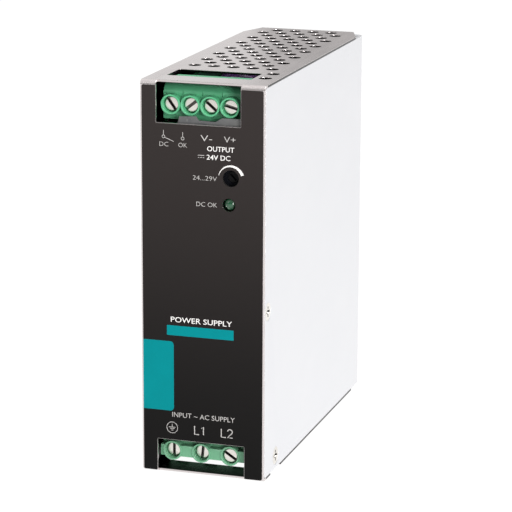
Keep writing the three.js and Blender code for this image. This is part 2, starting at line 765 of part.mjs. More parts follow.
// Two ferrite halves glued into one frame around the winding.
function coreFrame(b, leg) {
  const mid = (b.z0 + b.z1) / 2;
  const full = box(b.x0 + 2, b.x1, b.y0, b.y1, b.z0, b.z1);
  const window = [
    box(b.x0 + 2 + leg, b.x1 - leg, b.y0 - 1, b.y1 + 1, b.z0 + leg, mid - leg / 2),
    box(b.x0 + 2 + leg, b.x1 - leg, b.y0 - 1, b.y1 + 1, mid + leg / 2, b.z1 - leg),
  ];
  return without(full, window);
}

function winding(b, leg) {
  const mid = (b.z0 + b.z1) / 2;
  const r = 0.15;
  const over = Math.min(3, (b.y1 - b.y0) / 8);
  const y0 = b.y0 - over + 0.5;
  const y1 = b.y1 + over - 0.5;
  const x0 = b.x0 + 2 + leg + r;
  const x1 = b.x1 - leg - r;
  const body = box(x0, x1, y0, y1, b.z0 + leg + r, b.z1 - leg - r);
  const hole = box(x0 - 1, x1 + 1, b.y0 - r, b.y1 + r, mid - leg / 2 - r, mid + leg / 2 + r);
  const feet = [y0, y1 - 1.2].map((y) => box(b.x0, x0 + 1, y, y + 1.2, mid - leg, mid + leg));
  return union([body.subtract(hole), ...feet]);
}

function heatSink() {
  const b = bay(0.84, 0.99, 0.4, 0.84, 0.9);
  const plate = box(b.x0, b.x1, b.y0, b.y0 + 2.5, b.z0, b.z1);
  const wing = box(b.x1 - 2.5, b.x1, b.y0, b.y1, b.z0, b.z1);
  return union([plate, wing]);
}

function switchTransistor() {
  const b = bay(0.84, 0.99, 0.4, 0.84, 0.9);
  const z = (b.z0 + b.z1) / 2;
  const y = b.y0 + 2.5;
  const x = b.x0 + 5;
  const legs = [-2.54, 0, 2.54].map((d) =>
    box(b.x0, x + 1, y + 1.8, y + 2.4, z + d - 0.4, z + d + 0.4),
  );
  return union([
    box(x, x + 9.5, y, y + 4.4, z - 5, z + 5),
    box(x, x + 13.5, y, y + 1.3, z - 5, z + 5),
    ...legs,
  ]);
}

function fuse() {
  const b = bay(0.34, 0.42, 0.03, 0.24, 0.3);
  const r = (b.y1 - b.y0) / 2;
  const x = b.x0 + r + 1.2;
  const y = (b.y0 + b.y1) / 2;
  const clips = [b.z0 + 1, b.z1 - 4].map((z) =>
    box(b.x0, x, y - r * 0.6, y + r * 0.6, z, z + 3),
  );
  return union([rodZ(r, b.z0, b.z1, x, y, 14), ...clips]);
}

// Rail clip ----------------------------------------------------------------------------------

function railBase() {
  const half = BASE_WIDE / 2;
  const lipTop = RAIL_Z + RAIL / 2 + LIP_ROOM;
  const top = RAIL_Z + RAIL / 2 + BASE_OVER;
  const landLow = RAIL_Z - RAIL / 2 + GRIP + SEAT_RELIEF;
  const landTop = RAIL_Z + RAIL / 2 - GRIP - SEAT_RELIEF;
  const outline = [
    [DEPTH, BASE_LOW],
    [SEAT - SEAT_RELIEF, BASE_LOW],
    [SEAT - SEAT_RELIEF, landLow],
    [SEAT, landLow],
    [SEAT, landTop],
    [SEAT - SEAT_RELIEF, landTop],
    [SEAT - SEAT_RELIEF, lipTop],
    [HOOK_FRONT, lipTop],
    [HOOK_FRONT, RAIL_Z + RAIL / 2 - GRIP],
    [OVERALL, RAIL_Z + RAIL / 2 - GRIP + 0.6],
    [OVERALL, top - 4],
    [SEAT, top],
    [DEPTH, top],
  ];
  const wide = LATCH_WIDE / 2 + LATCH_ROOM;
  const deep = DEPTH + LATCH_THICK + LATCH_ROOM * 2;
  const channelTop = POST_TOP + SPRING_LONG + LATCH_HEAD + LATCH_TRAVEL;
  const pocket = SPRING_R + SPRING_WIRE / 2 + 0.3;
  const body = without(prismX(outline, -half, half), [
    box(-wide, wide, DEPTH - 1, deep, BASE_LOW - 1, channelTop),
    box(-pocket, pocket, DEPTH - 1, DEPTH + 2 * pocket, POST_TOP, channelTop),
  ]);
  const stop = box(-2.4, 2.4, DEPTH + 0.05, deep + 0.5, POST_TOP - POST_TALL, POST_TOP);
  const holes = railScrewCentres().flatMap(([x, z]) => [
    rodY(M3_HOLE, DEPTH - 1, SEAT + 1, x, z, 12),
    rodY(M3_HOLE, SEAT - 2, SEAT + 0.01, x, z, 20, FLAT_HEAD + 0.15),
  ]);
  return without(union([body, stop]), holes);
}

function railLatch() {
  const half = LATCH_WIDE / 2;
  const y0 = DEPTH + LATCH_ROOM;
  const y1 = y0 + LATCH_THICK;
  const blockTop = BASE_LOW - 0.3;
  const nose = RAIL_Z - RAIL / 2 + GRIP;
  const tip = blockTop - NOSE_BLOCK - LATCH_DOWN;
  const high = POST_TOP + SPRING_LONG + LATCH_HEAD;
  const outline = [
    [y0, tip],
    [y1, tip],
    [y1, blockTop - NOSE_BLOCK],
    [OVERALL - 0.6, blockTop - 4],
    [OVERALL, nose - 2.5],
    [HOOK_FRONT, nose],
    [HOOK_FRONT, blockTop],
    [y1, blockTop],
    [y1, high],
    [y0, high],
  ];
  const bodyCuts = [
    box(-2.9, 2.9, y0 - 1, y1 + 1, POST_TOP - POST_TALL - 0.4, POST_TOP + SPRING_LONG),
    box(-4, 4, y0 - 1, y1 + 1, tip + 3, tip + 5.4),
  ];
  return without(prismX(outline, -half, half), bodyCuts);
}

function latchSpring() {
  const centreY = DEPTH + SPRING_R + SPRING_WIRE / 2 + 0.2;
  const low = POST_TOP + SPRING_WIRE / 2;
  const rise = SPRING_LONG - SPRING_WIRE;
  class Coil extends THREE.Curve {
    getPoint(t, target = new THREE.Vector3()) {
      const a = t * SPRING_TURNS * 2 * Math.PI;
      return target.set(SPRING_R * Math.cos(a), centreY + SPRING_R * Math.sin(a), low + t * rise);
    }
  }
  const section = new THREE.Shape(
    arc(0, 0, SPRING_WIRE / 2, SPRING_WIRE / 2, 0, 300, 5).map(([u, v]) => new THREE.Vector2(u, v)),
  );
  const steps = SPRING_TURNS * 9;
  return solid(new THREE.ExtrudeGeometry(section, { steps, extrudePath: new Coil() }));
}

function railScrew(x, z) {
  const face = SEAT - RAIL_FLUSH;
  const head = rodY(M3_SHANK, SEAT - 1.9, face, x, z, 20, FLAT_HEAD);
  const shank = rodY(M3_SHANK, BACK_IN - 1.2, SEAT - 1.8, x, z, 12);
  const floor = face - CROSS_DEEP;
  const cross = [
    box(x - CROSS_REACH, x + CROSS_REACH, floor, SEAT + 1, z - CROSS_HALF, z + CROSS_HALF),
    box(x - CROSS_HALF, x + CROSS_HALF, floor, SEAT + 1, z - CROSS_REACH, z + CROSS_REACH),
  ];
  return without(union([head, shank]), cross);
}

// Assembly -----------------------------------------------------------------------------------

steel("front_wrap", frontWrap());
alloy("body_shell", bodyShell());
dark("front_label", frontLabel());
add("insulation_sheet", insulationSheet(), 0xc9cbc8, 0.4, 0);
for (const [where, y, z] of sideScrewCentres()) {
  alloy("side_screw_right_" + where, sideScrew(1, y, z));
  alloy("side_screw_left_" + where, sideScrew(-1, y, z));
}

add("output_terminal", outputTerminal(), 0x3f8a5f, 0.45, 0);
add("input_terminal", inputTerminal(), 0x74b893, 0.45, 0);
for (let i = 0; i < OUT_POLES; i++) {
  const x = outPoleX(i);
  nickel(`output_screw_${i + 1}`, clampScrew(x, OUT_Z, OUT_SLOTS[i], OUT_SINK[i]));
  nickel(`output_cage_${i + 1}`, cage(x, OUT_Z));
  copper(`output_contact_${i + 1}`, contact(x, OUT_Z, 1));
}
for (let i = 0; i < IN_POLES; i++) {
  const x = inPoleX(i);
  nickel(`input_screw_${i + 1}`, clampScrew(x, IN_Z, IN_SLOTS[i], IN_SINK[i]));
  nickel(`input_cage_${i + 1}`, cage(x, IN_Z));
  copper(`input_contact_${i + 1}`, contact(x, IN_Z, -1));
}

laminate("main_board", mainBoard());
laminate("output_board", outputBoard());
laminate("input_board", inputBoard());
laminate("control_board", controlBoard());
postCentres().forEach(([y, z], i) => {
  add(`board_post_${i + 1}`, boardPost(y, z), 0xe6e4da, 0.5, 0);
});
add("trimmer_body", trimmerBody(), 0x101a2c, 0.5, 0);
add("trimmer_rotor", trimmerRotor(), 0x16181c, 0.45, 0);
add("ready_lamp", readyLamp(), 0x1f6b3c, 0.2, 0);

dark("transformer_core", coreFrame(TRANSFORMER, 5));
add("transformer_winding", winding(TRANSFORMER, 5), 0xd9b13a, 0.5, 0);
dark("choke_core", coreFrame(CHOKE, 3.4));
add("choke_winding", winding(CHOKE, 3.4), 0xa8602c, 0.4, 1);
dark("bulk_capacitor_1", can(bay(0.56, 0.82, 0.02, 0.2)));
dark("bulk_capacitor_2", can(bay(0.56, 0.82, 0.21, 0.39)));
add("output_capacitor_1", can(bay(0.16, 0.36, 0.84, 0.98, 0.85)), 0x5a2f6b, 0.4, 0);
add("output_capacitor_2", can(bay(0.4, 0.6, 0.84, 0.98, 0.85)), 0x5a2f6b, 0.4, 0);
alloy("heat_sink", heatSink());
dark("switch_transistor", switchTransistor());
dark("bridge_rectifier", block(bay(0.44, 0.5, 0.04, 0.24, 0.6)));
add("ready_relay", block(bay(0.04, 0.26, 0.5, 0.62, 0.5)), 0xd9d4c4, 0.5, 0);
add("fuse", fuse(), 0xd6d2c6, 0.3, 0);

alloy("rail_base", railBase());
steel("rail_latch", railLatch());
nickel("latch_spring", latchSpring());
railScrewCentres().forEach(([x, z], i) => alloy(`rail_screw_${i + 1}`, railScrew(x, z)));

group.position.y = -(OVERALL - LABEL) / 2;
export default group;
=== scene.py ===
import json
import math

import bmesh
import bpy
from mathutils import Matrix, Vector


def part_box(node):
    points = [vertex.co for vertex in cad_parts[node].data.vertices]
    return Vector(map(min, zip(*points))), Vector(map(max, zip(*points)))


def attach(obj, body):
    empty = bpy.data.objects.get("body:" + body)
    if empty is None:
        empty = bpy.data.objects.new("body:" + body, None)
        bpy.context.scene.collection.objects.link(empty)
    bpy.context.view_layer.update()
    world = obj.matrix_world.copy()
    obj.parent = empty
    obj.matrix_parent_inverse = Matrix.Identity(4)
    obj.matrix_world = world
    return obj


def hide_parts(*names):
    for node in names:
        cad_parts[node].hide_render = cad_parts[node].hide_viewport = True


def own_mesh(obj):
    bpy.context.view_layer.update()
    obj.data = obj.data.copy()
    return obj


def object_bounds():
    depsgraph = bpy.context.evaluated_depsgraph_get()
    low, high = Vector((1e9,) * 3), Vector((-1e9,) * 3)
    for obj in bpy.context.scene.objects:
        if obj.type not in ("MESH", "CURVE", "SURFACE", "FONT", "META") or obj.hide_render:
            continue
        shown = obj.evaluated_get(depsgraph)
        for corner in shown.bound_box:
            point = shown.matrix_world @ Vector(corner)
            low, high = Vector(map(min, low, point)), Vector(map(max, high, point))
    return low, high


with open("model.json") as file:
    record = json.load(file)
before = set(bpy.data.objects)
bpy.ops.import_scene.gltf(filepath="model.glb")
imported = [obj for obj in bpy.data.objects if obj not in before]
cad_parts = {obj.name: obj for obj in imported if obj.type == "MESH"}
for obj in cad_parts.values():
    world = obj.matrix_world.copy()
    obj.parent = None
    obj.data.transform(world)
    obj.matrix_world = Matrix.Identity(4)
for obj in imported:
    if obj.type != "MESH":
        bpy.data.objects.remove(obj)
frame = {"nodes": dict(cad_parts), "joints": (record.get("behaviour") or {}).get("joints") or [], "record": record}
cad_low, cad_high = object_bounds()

# Looks of a DIN rail power supply. Pieces are shaped in millimetres, in the case's own
# coordinates: x across from the middle, y back from the front sheet's face, z up from the
# underside. TO_ROW then carries them to the frame's metres.
MM = 0.001
case_low, case_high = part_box("front_wrap")
TO_ROW = Matrix.Translation((0, case_low.y, 0)) @ Matrix.Scale(MM, 4)
TO_CASE = TO_ROW.inverted()
NODE_BODY = {
    node: body
    for body, nodes in frame["record"]["behaviour"]["bodies"].items()
    for node in nodes
}


def span(node):
    """Lowest and highest corner of a CAD node in case millimetres."""
    low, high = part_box(node)
    return TO_CASE @ low, TO_CASE @ high


def middle(node):
    low, high = span(node)
    return (low + high) / 2


def bounds_of(node):
    """A node's corners with its middle's x and z."""
    low, high = span(node)
    return low, high, (low.x + high.x) / 2, (low.z + high.z) / 2


wrap_low, wrap_high = span("front_wrap")
shell_low, shell_high = span("body_shell")
RIGHT = wrap_high.x
HEIGHT = wrap_high.z
DEPTH = shell_high.y
STEEL_END = wrap_high.y

# Case sheets
SHEET = 0.8
BEND = 1.5
EDGE = 0.12
VENT = 2.0
PANEL = 1.5
CORNER = 3.0

# Openings of the folded steel, as x and y or z limits
NOTCH_LEFT = -RIGHT + 5.1
TOP_NOTCH_RIGHT = RIGHT - 7.7
TOP_NOTCH_FLOOR = HEIGHT - 13
LOW_NOTCH_RIGHT = RIGHT - 6.4
LOW_NOTCH_TOP = 11
BAR_END = 10
WINDOW_END = 22
LAMP_HOLE = 2.1
TRIMMER_HOLE = 2.6

# Vents, cropped corners and screw tabs of the steel, and the gap to the shell behind it
VENT_FIRST = 30.5
VENT_ROW = 6.0
VENT_PITCH = 6.4
VENT_BACK = 2.9
VENT_ACROSS = 5
LONE_VENT_IN = 4.3
LONE_VENTS_Y = (13.9, 22.2)
CROP_LONG = 10.5
CROP_WIDE = 3.6
TAB_LONG = 11
TAB_REACH = 3.7
TAB_ROOM = 0.1
SHELL_GAP = 0.05

# Screws
SHANK = 1.45
SHANK_HOLE = 1.6
SCREW_SLOT = 0.95
SLOT_DEEP = 1.15

# Label film, with the ink's face and back on it
FILM = 0.19
LABEL_ROOM = 0.15
INK_FACE = -FILM - 0.045
INK_BACK = -FILM + 0.005

WHITE = (1, 1, 1, 1)


# Solids --------------------------------------------------------------------------------


def keep(name, data):
    """A new object in the scene that shows this mesh, curve, light or camera."""
    thing = bpy.data.objects.new(name, data)
    bpy.context.scene.collection.objects.link(thing)
    return thing


def solid(bm):
    """An object in case millimetres from a bmesh."""
    bmesh.ops.remove_doubles(bm, verts=bm.verts, dist=1e-4)
    bmesh.ops.recalc_face_normals(bm, faces=bm.faces)
    mesh = bpy.data.meshes.new("blank")
    bm.to_mesh(mesh)
    bm.free()
    return keep("blank", mesh)


AXES = {
    "x": lambda u, v, w: (w, u, v),
    "y": lambda u, v, w: (u, w, v),
    "z": lambda u, v, w: (u, v, w),
}


def prism(outline, axis, start, end):
    """Outline in the two other axes, stretched along this one."""
    bm = bmesh.new()
    rings = [[bm.verts.new(AXES[axis](u, v, w)) for u, v in outline] for w in (start, end)]
    bm.faces.new(rings[0])
    bm.faces.new(rings[1])
    count = len(outline)
    for i in range(count):
        j = (i + 1) % count
        bm.faces.new((rings[0][i], rings[0][j], rings[1][j], rings[1][i]))
    return solid(bm)


def rectangle(u0, u1, v0, v1):
    return [(u0, v0), (u1, v0), (u1, v1), (u0, v1)]


def block(x0, x1, y0, y1, z0, z1):
    return prism(rectangle(x0, x1, y0, y1), "z", z0, z1)


def skinned(bm, rings, sides):
    """Faces from each ring to the next and over both ends; a ring may be one point."""
    for near, far in zip(rings, rings[1:]):
        for i in range(sides):
            j = (i + 1) % sides
            corners = [near[i % len(near)], near[j % len(near)]]
            corners += [far[j % len(far)], far[i % len(far)]]
            corners = list(dict.fromkeys(corners))
            if len(corners) > 2:
                bm.faces.new(corners)
    for ring in (rings[0], rings[-1]):
        if len(ring) > 1:
            bm.faces.new(ring)
    return solid(bm)


def turned(profile, axis, centre, sides=40):
    """Profile of (radius, distance along the axis), turned round a line through centre."""
    bm = bmesh.new()
    u0, v0 = centre
    rings = []
    for radius, along in profile:
        if radius < 1e-6:
            rings.append([bm.verts.new(AXES[axis](u0, v0, along))])
            continue
        loop = []
        for i in range(sides):
            a = 2 * math.pi * i / sides
            u, v = u0 + radius * math.cos(a), v0 + radius * math.sin(a)
            loop.append(bm.verts.new(AXES[axis](u, v, along)))
        rings.append(loop)
    return skinned(bm, rings, sides)


def rod(radius, axis, centre, start, end, sides=40):
    return turned([(radius, start), (radius, end)], axis, centre, sides)


def arc(u, v, radius, start, end, steps, flat=None):
    """Points on an arc, angles in degrees; flat is the second radius of an ellipse."""
    points = []
    for i in range(steps + 1):
        a = math.radians(start + (end - start) * i / steps)
        points.append((u + radius * math.cos(a), v + (flat or radius) * math.sin(a)))
    return points


def rounded(corners, radii, steps=5):
    """A polygon with each corner rounded to its own radius."""
    points = []
    count = len(corners)
    for i, corner in enumerate(corners):
        radius = radii[i] if isinstance(radii, (list, tuple)) else radii
        here = Vector(corner)
        before = (Vector(corners[i - 1]) - here).normalized()
        after = (Vector(corners[(i + 1) % count]) - here).normalized()
        if radius <= 0:
            points.append(tuple(here))
            continue
        half = before.angle(after) / 2
        reach = radius / math.tan(half)
        centre = here + (before + after).normalized() * radius / math.sin(half)
        start = here + before * reach - centre
        end = here + after * reach - centre
        turn = math.atan2(start.x * end.y - start.y * end.x, start.dot(end))
        for k in range(steps + 1):
            a = turn * k / steps
            spun = Vector(
                (
                    start.x * math.cos(a) - start.y * math.sin(a),
                    start.x * math.sin(a) + start.y * math.cos(a),
                )
            )
            points.append(tuple(centre + spun))
    return points


def evaluated_mesh(thing):
    graph = bpy.context.evaluated_depsgraph_get()
    return bpy.data.meshes.new_from_object(thing.evaluated_get(graph))


def settle(thing):
    """Applies an object's modifiers to its mesh."""
    mesh = evaluated_mesh(thing)
    thing.modifiers.clear()
    thing.data = mesh
    return thing


def bmesh_of(name, curve):
    """The filled mesh of a curve or of letters, for further shaping."""
    thing = keep(name, curve)
    mesh = evaluated_mesh(thing)
    bpy.data.objects.remove(thing)
    bm = bmesh.new()
    bm.from_mesh(mesh)
    return bm


def gather(things):
    """Several solids as one object, not merged."""
    bm = bmesh.new()
    for thing in things:
        bm.from_mesh(thing.data)
        bpy.data.objects.remove(thing)
    mesh = bpy.data.meshes.new("gathered")
    bm.to_mesh(mesh)
    bm.free()
    return keep("gathered", mesh)


def worked(body, tools, operation):
    tool = gather(tools)
    step = body.modifiers.new("work", "BOOLEAN")
    step.operation = operation
    step.solver = "EXACT"
    step.use_self = True
    step.object = tool
    settle(body)
    bpy.data.objects.remove(tool)
    return body


def joined(body, *others):
    return worked(body, others, "UNION")


def cut(body, *tools):
    return worked(body, tools, "DIFFERENCE")


def broken_edges(thing, width, segments=2, angle=32):
    """Sharp edges broken to a small round."""
    for polygon in thing.data.polygons:
        polygon.use_smooth = True
    step = thing.modifiers.new("edges", "BEVEL")
    step.width = width
    step.segments = segments
    step.limit_method = "ANGLE"
    step.angle_limit = math.radians(angle)
    step.miter_outer = "MITER_ARC"
    step.use_clamp_overlap = True
    return settle(thing)


def smooth(thing, angle=38):
    """Smooth round faces with true flats beside them."""
    mesh = thing.data
    for polygon in mesh.polygons:
        polygon.use_smooth = True
    mesh.set_sharp_from_angle(angle=math.radians(angle))
    step = thing.modifiers.new("normals", "WEIGHTED_NORMAL")
    step.keep_sharp = True
    step.weight = 60
    return settle(thing)


def fitted(thing, name, finish, slot, *nodes, body=None):
    """Carries a shaped piece to the row frame, in place of the CAD nodes it stands for."""
    thing.data.transform(TO_ROW)
    thing.name = name
    thing.data.name = name
    thing.data.materials.clear()
    thing.data.materials.append(finish.material)
    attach(thing, body or NODE_BODY[nodes[0]])
    if nodes:
        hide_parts(*nodes)
    return thing


def flat_sheet(outline, holes, thick, edge):
    """A flat blank with holes and lightly rounded edges, from 0 to minus thick in z."""

    def way_round(loop):
        return sum(a[0] * b[1] - b[0] * a[1] for a, b in zip(loop, loop[1:] + loop[:1]))

    curve = bpy.data.curves.new("blank", "CURVE")
    curve.dimensions = "2D"
    curve.fill_mode = "BOTH"
    curve.extrude = thick / 2 - edge
    curve.bevel_depth = edge
    curve.bevel_resolution = 1
    curve.offset = -edge
    loops = [outline if way_round(outline) > 0 else outline[::-1]]
    loops += [hole if way_round(hole) < 0 else hole[::-1] for hole in holes]
    for loop in loops:
        spline = curve.splines.new("POLY")
        spline.points.add(len(loop) - 1)
        for point, (u, v) in zip(spline.points, loop):
            point.co = (u, v, 0, 1)
        spline.use_cyclic_u = True
    bm = bmesh_of("blank", curve)
    bmesh.ops.translate(bm, verts=bm.verts, vec=(0, 0, -thick / 2))
    bmesh.ops.remove_doubles(bm, verts=bm.verts, dist=1e-3)
    bmesh.ops.recalc_face_normals(bm, faces=bm.faces)
    return bm


# Finishes ------------------------------------------------------------------------------


class Wire:
    """A socket of a node tree; arithmetic on it adds Math nodes."""

    def __init__(self, nodes, socket):
        self.nodes = nodes
        self.socket = socket

    def _math(self, operation, *values):
        return self.nodes.node(
            "ShaderNodeMath", {"operation": operation}, dict(enumerate(values))
        )

    def __add__(self, other):
        return self._math("ADD", self, other)

    __radd__ = __add__

    def __sub__(self, other):
        return self._math("SUBTRACT", self, other)

    def __rsub__(self, other):
        return self._math("SUBTRACT", other, self)

    def __mul__(self, other):
        return self._math("MULTIPLY", self, other)

    __rmul__ = __mul__

    def least(self, other):
        return self._math("MINIMUM", self, other)

    def most(self, other):
        return self._math("MAXIMUM", self, other)

    def sine(self):
        return self._math("SINE", self)


class Nodes:
    """A node tree that is put together one node at a time."""

    def __init__(self, tree):
        self.tree = tree

    def node(self, kind, settings=None, sockets=None, output=0):
        node = self.tree.nodes.new(kind)
        for key, value in (settings or {}).items():
            setattr(node, key, value)
        for key, value in (sockets or {}).items():
            if isinstance(value, Wire):
                self.tree.links.new(value.socket, node.inputs[key])
            else:
                node.inputs[key].default_value = value
        return Wire(self, node.outputs[output])

    def ramp(self, value, low, high):
        """0 below low, 1 above high, smooth between."""
        return self.node(
            "ShaderNodeMapRange",
            {"interpolation_type": "SMOOTHSTEP"},
            {"Value": value, "From Min": low, "From Max": high},
        )

    def mix(self, factor, first, second):
        return self.node(
            "ShaderNodeMix", {"data_type": "RGBA"}, {0: factor, 6: first, 7: second}, 2
        )


class Finish(Nodes):
    """One procedural material on a Principled shader, with constants on its own sockets."""

    def __init__(self, name, **constants):
        self.material = bpy.data.materials.new(name)
        self.material.use_nodes = True
        super().__init__(self.material.node_tree)
        self.shader = self.tree.nodes["Principled BSDF"]
        for socket, value in constants.items():
            self.shader.inputs[socket.replace("_", " ")].default_value = value
        self.place = self.node("ShaderNodeTexCoord", output="Object")

    def stretched(self, x, y, z):
        return self.node(
            "ShaderNodeVectorMath", {"operation": "MULTIPLY"}, {0: self.place, 1: (x, y, z)}
        )

    def noise(self, scale, detail=3, rough=0.55, x=1, y=1, z=1):
        """Cloudy variation from 0 to 1; scale counts features in a metre."""
        return self.node(
            "ShaderNodeTexNoise",
            {"noise_dimensions": "3D"},
            {"Vector": self.stretched(x, y, z), "Scale": scale, "Detail": detail, "Roughness": rough},
        )

    def cells(self, scale, x=1, y=1, z=1):
        """Distance to the nearest of scattered points."""
        return self.node(
            "ShaderNodeTexVoronoi",
            {"feature": "F1"},
            {"Vector": self.stretched(x, y, z), "Scale": scale},
            "Distance",
        )

    def along(self, axis):
        """Place along one axis of the row frame, in metres."""
        return self.node("ShaderNodeSeparateXYZ", {}, {0: self.place}, axis)

    def hollow(self, reach):
        """1 deep in slots and corners, 0 in the open; reach in millimetres."""
        open_air = self.node(
            "ShaderNodeAmbientOcclusion",
            {"samples": 8, "only_local": True},
            {"Distance": reach * MM},
            "AO",
        )
        return 1 - self.ramp(open_air, 0.35, 0.9)

    def inside(self, low, high):
        """0 on the case's outer skin, 1 on faces this far within it, in millimetres."""
        x, y, z = (self.along(axis) for axis in "XYZ")
        sides = RIGHT * MM - x.most(x * -1)
        ends = (y - case_low.y).least(case_low.y + DEPTH * MM - y)
        depth = sides.least(ends).least(z.least(HEIGHT * MM - z))
        return self.ramp(depth, low * MM, high * MM)

    def cut_faces(self):
        """1 on faces cut through the top and bottom sheets, clear of the front bends."""
        y, z = self.along("Y"), self.along("Z")
        level = z.least(HEIGHT * MM - z)
        clear = self.ramp(y - case_low.y, 2.2 * MM, 3 * MM)
        return self.ramp(level, 0.1 * MM, 0.25 * MM) * clear

    def worn(self, low=0.5, high=0.56):
        """Edges that catch, from the mesh's own pointed places."""
        pointed = self.node("ShaderNodeNewGeometry", output="Pointiness")
        return self.ramp(pointed, low, high)

    def feed(self, socket, value):
        self.tree.links.new(value.socket, self.shader.inputs[socket])
        return self

    def bump(self, height, strength, distance):
        """distance in millimetres."""
        relief = self.node(
            "ShaderNodeBump",
            {},
            {"Height": height, "Strength": strength, "Distance": distance * MM},
            "Normal",
        )
        return self.feed("Normal", relief)


def colour(red, green, blue):
    """A linear colour from the 0 to 255 steps of a colour card."""

    def linear(step):
        c = step / 255
        return c / 12.92 if c <= 0.04045 else ((c + 0.055) / 1.055) ** 2.4

    return (linear(red), linear(green), linear(blue), 1)


def sheet_metal(name, pale, deep, rough, grain, skin=None, cut_shade=0):
    """Rolled sheet: fine lines along the roll, cloudy handling, bright edges, painted shade on faces within the
    case and on the cut walls of the vents.
    """
    finish = Finish(name, Metallic=1.0)
    lines = finish.noise(900, 4, 0.7, *grain)
    cloud = finish.noise(38, 4, 0.6)
    smear = finish.noise(130, 3, 0.6, 1, 0.4, 1)
    edge = finish.worn(0.505, 0.56)
    tone = finish.mix(cloud * 0.6 + lines * 0.4, deep, pale)
    tone = finish.mix(edge * 0.5, tone, pale)
    # Painted shade: faces within the case skin, and the cut walls of the vents when cut_shade is set, are turned
    # near black.
    if skin:
        shade = finish.inside(*skin)
        if cut_shade:
            shade = shade.most(finish.cut_faces() * cut_shade)
        tone = finish.mix(shade, tone, colour(20, 18, 18))
    finish.feed("Base Color", tone)
    finish.feed("Roughness", rough + (lines - 0.5) * 0.12 + (smear - 0.5) * 0.14 - edge * 0.06)
    return finish.bump(lines + cloud * 0.3, 0.12, 0.02)


def moulded(name, pale, deep, rough=0.42, pits=2600, shine=0.45):
    """Glass-filled plastic: fine spark texture, flow clouding and rubbed edges."""
    finish = Finish(name, Specular_IOR_Level=shine)
    cloud = finish.noise(95, 4, 0.6)
    flow = finish.noise(420, 2, 0.5, 1, 0.25, 1)
    spark = finish.noise(pits, 2, 0.5)
    edge = finish.worn(0.51, 0.6)
    tone = finish.mix(cloud * 0.7 + flow * 0.3, deep, pale)
    light = tuple(c + 0.28 * shine * (1 - c) for c in pale[:3]) + (1,)
    finish.feed("Base Color", finish.mix(edge * 0.28, tone, light))
    finish.feed("Roughness", rough + (spark - 0.5) * 0.18 + (cloud - 0.5) * 0.1)
    return finish.bump(spark, 0.16, 0.03)


def plated(name, pale, deep, rough=0.26):
    """Zinc or nickel plate on a turned part: tool rings, small scratches, painted shade in the slots and hollows.
    """
    finish = Finish(name, Metallic=1.0)
    scratch = finish.noise(2600, 3, 0.7, 1, 1, 6)
    cloud = finish.noise(700, 3, 0.6)
    edge = finish.worn(0.5, 0.6)
    tone = finish.mix(cloud * 0.5 + edge * 0.5, deep, pale)
    # Painted shade: deep slots and hollows, found by ambient occlusion, are turned dark brown.
    finish.feed("Base Color", finish.mix(finish.hollow(1.4), tone, colour(24, 14, 12)))
    finish.feed("Roughness", rough + (scratch - 0.5) * 0.2 + (cloud - 0.5) * 0.08)
    return finish.bump(scratch, 0.14, 0.02)


def printed_film():
    """Dark polyester film: fine velvet grain, faint dust and a little sheen, with painted shade towards the bottom
    and painted light towards the top.
    """
    finish = Finish("label_film", Specular_IOR_Level=0.12)
    grain = finish.noise(5200, 2, 0.5)
    cloud = finish.noise(45, 3, 0.6)
    dust = finish.ramp(finish.noise(2100, 4, 0.75), 0.66, 0.8)
    # Painted light and shade: the film's colour runs from near black at the bottom to a lighter grey at the top,
    # standing in for the reflection of the room.
    up = finish.ramp(finish.along("Z"), 0.0, HEIGHT * MM)
    tone = finish.mix(up, colour(6, 6, 6), colour(45, 40, 39))
    tone = finish.mix(cloud * 0.15, tone, colour(36, 32, 31))
    finish.feed("Base Color", finish.mix(dust * 0.05, tone, colour(150, 145, 140)))
    finish.feed("Roughness", 0.4 + (grain - 0.5) * 0.16 + (cloud - 0.5) * 0.08)
    return finish.bump(grain, 0.1, 0.02)


def ink(name, pale, deep):
    """Screen printed ink: slightly uneven cover over the film's grain."""
    finish = Finish(name, Specular_IOR_Level=0.06)
    cover = finish.noise(3600, 3, 0.6)
    patch = finish.noise(160, 3, 0.5)
    finish.feed("Base Color", finish.mix(cover * 0.5 + patch * 0.5, deep, pale))
    finish.feed("Roughness", 0.4 + (cover - 0.5) * 0.2)
    return finish.bump(cover, 0.1, 0.02)


def clear_film():
    """Insulation film, milky where it is creased and rubbed."""
    finish = Finish("clear_film", Specular_IOR_Level=0.5)
    crease = finish.noise(260, 5, 0.7, 1, 1, 1.6)
    fleck = finish.ramp(finish.noise(900, 3, 0.6), 0.6, 0.72)
    tone = finish.mix(crease, colour(58, 60, 64), colour(104, 104, 102))
    finish.feed("Base Color", finish.mix(fleck * 0.45, tone, colour(190, 188, 184)))
    finish.feed("Roughness", 0.28 + crease * 0.25)
    return finish.bump(crease, 0.4, 0.15)


def laminate():
    """Solder mask over woven glass, with tracks and tinned pads."""
    finish = Finish("board_laminate", Specular_IOR_Level=0.5)
    warp = (finish.along("Y") * 9000).sine() * (finish.along("Z") * 9000).sine()
    route = finish.noise(170, 0, 0.0)
    track = finish.ramp((route * 46).sine(), 0.1, 0.35)
    pads = 1 - finish.ramp(finish.cells(260), 0.16, 0.2)
    mask = finish.mix(track, colour(18, 74, 44), colour(34, 104, 62))
    weave = finish.mix(warp * 0.5 + 0.5, mask, colour(26, 88, 52))
    finish.feed("Base Color", finish.mix(pads, weave, colour(196, 192, 184)))
    finish.feed("Metallic", pads * 0.9)
    finish.feed("Roughness", 0.36 + warp * 0.03 + pads * 0.08)
    return finish.bump(track * 0.7 + pads + warp * 0.08, 0.4, 0.05)


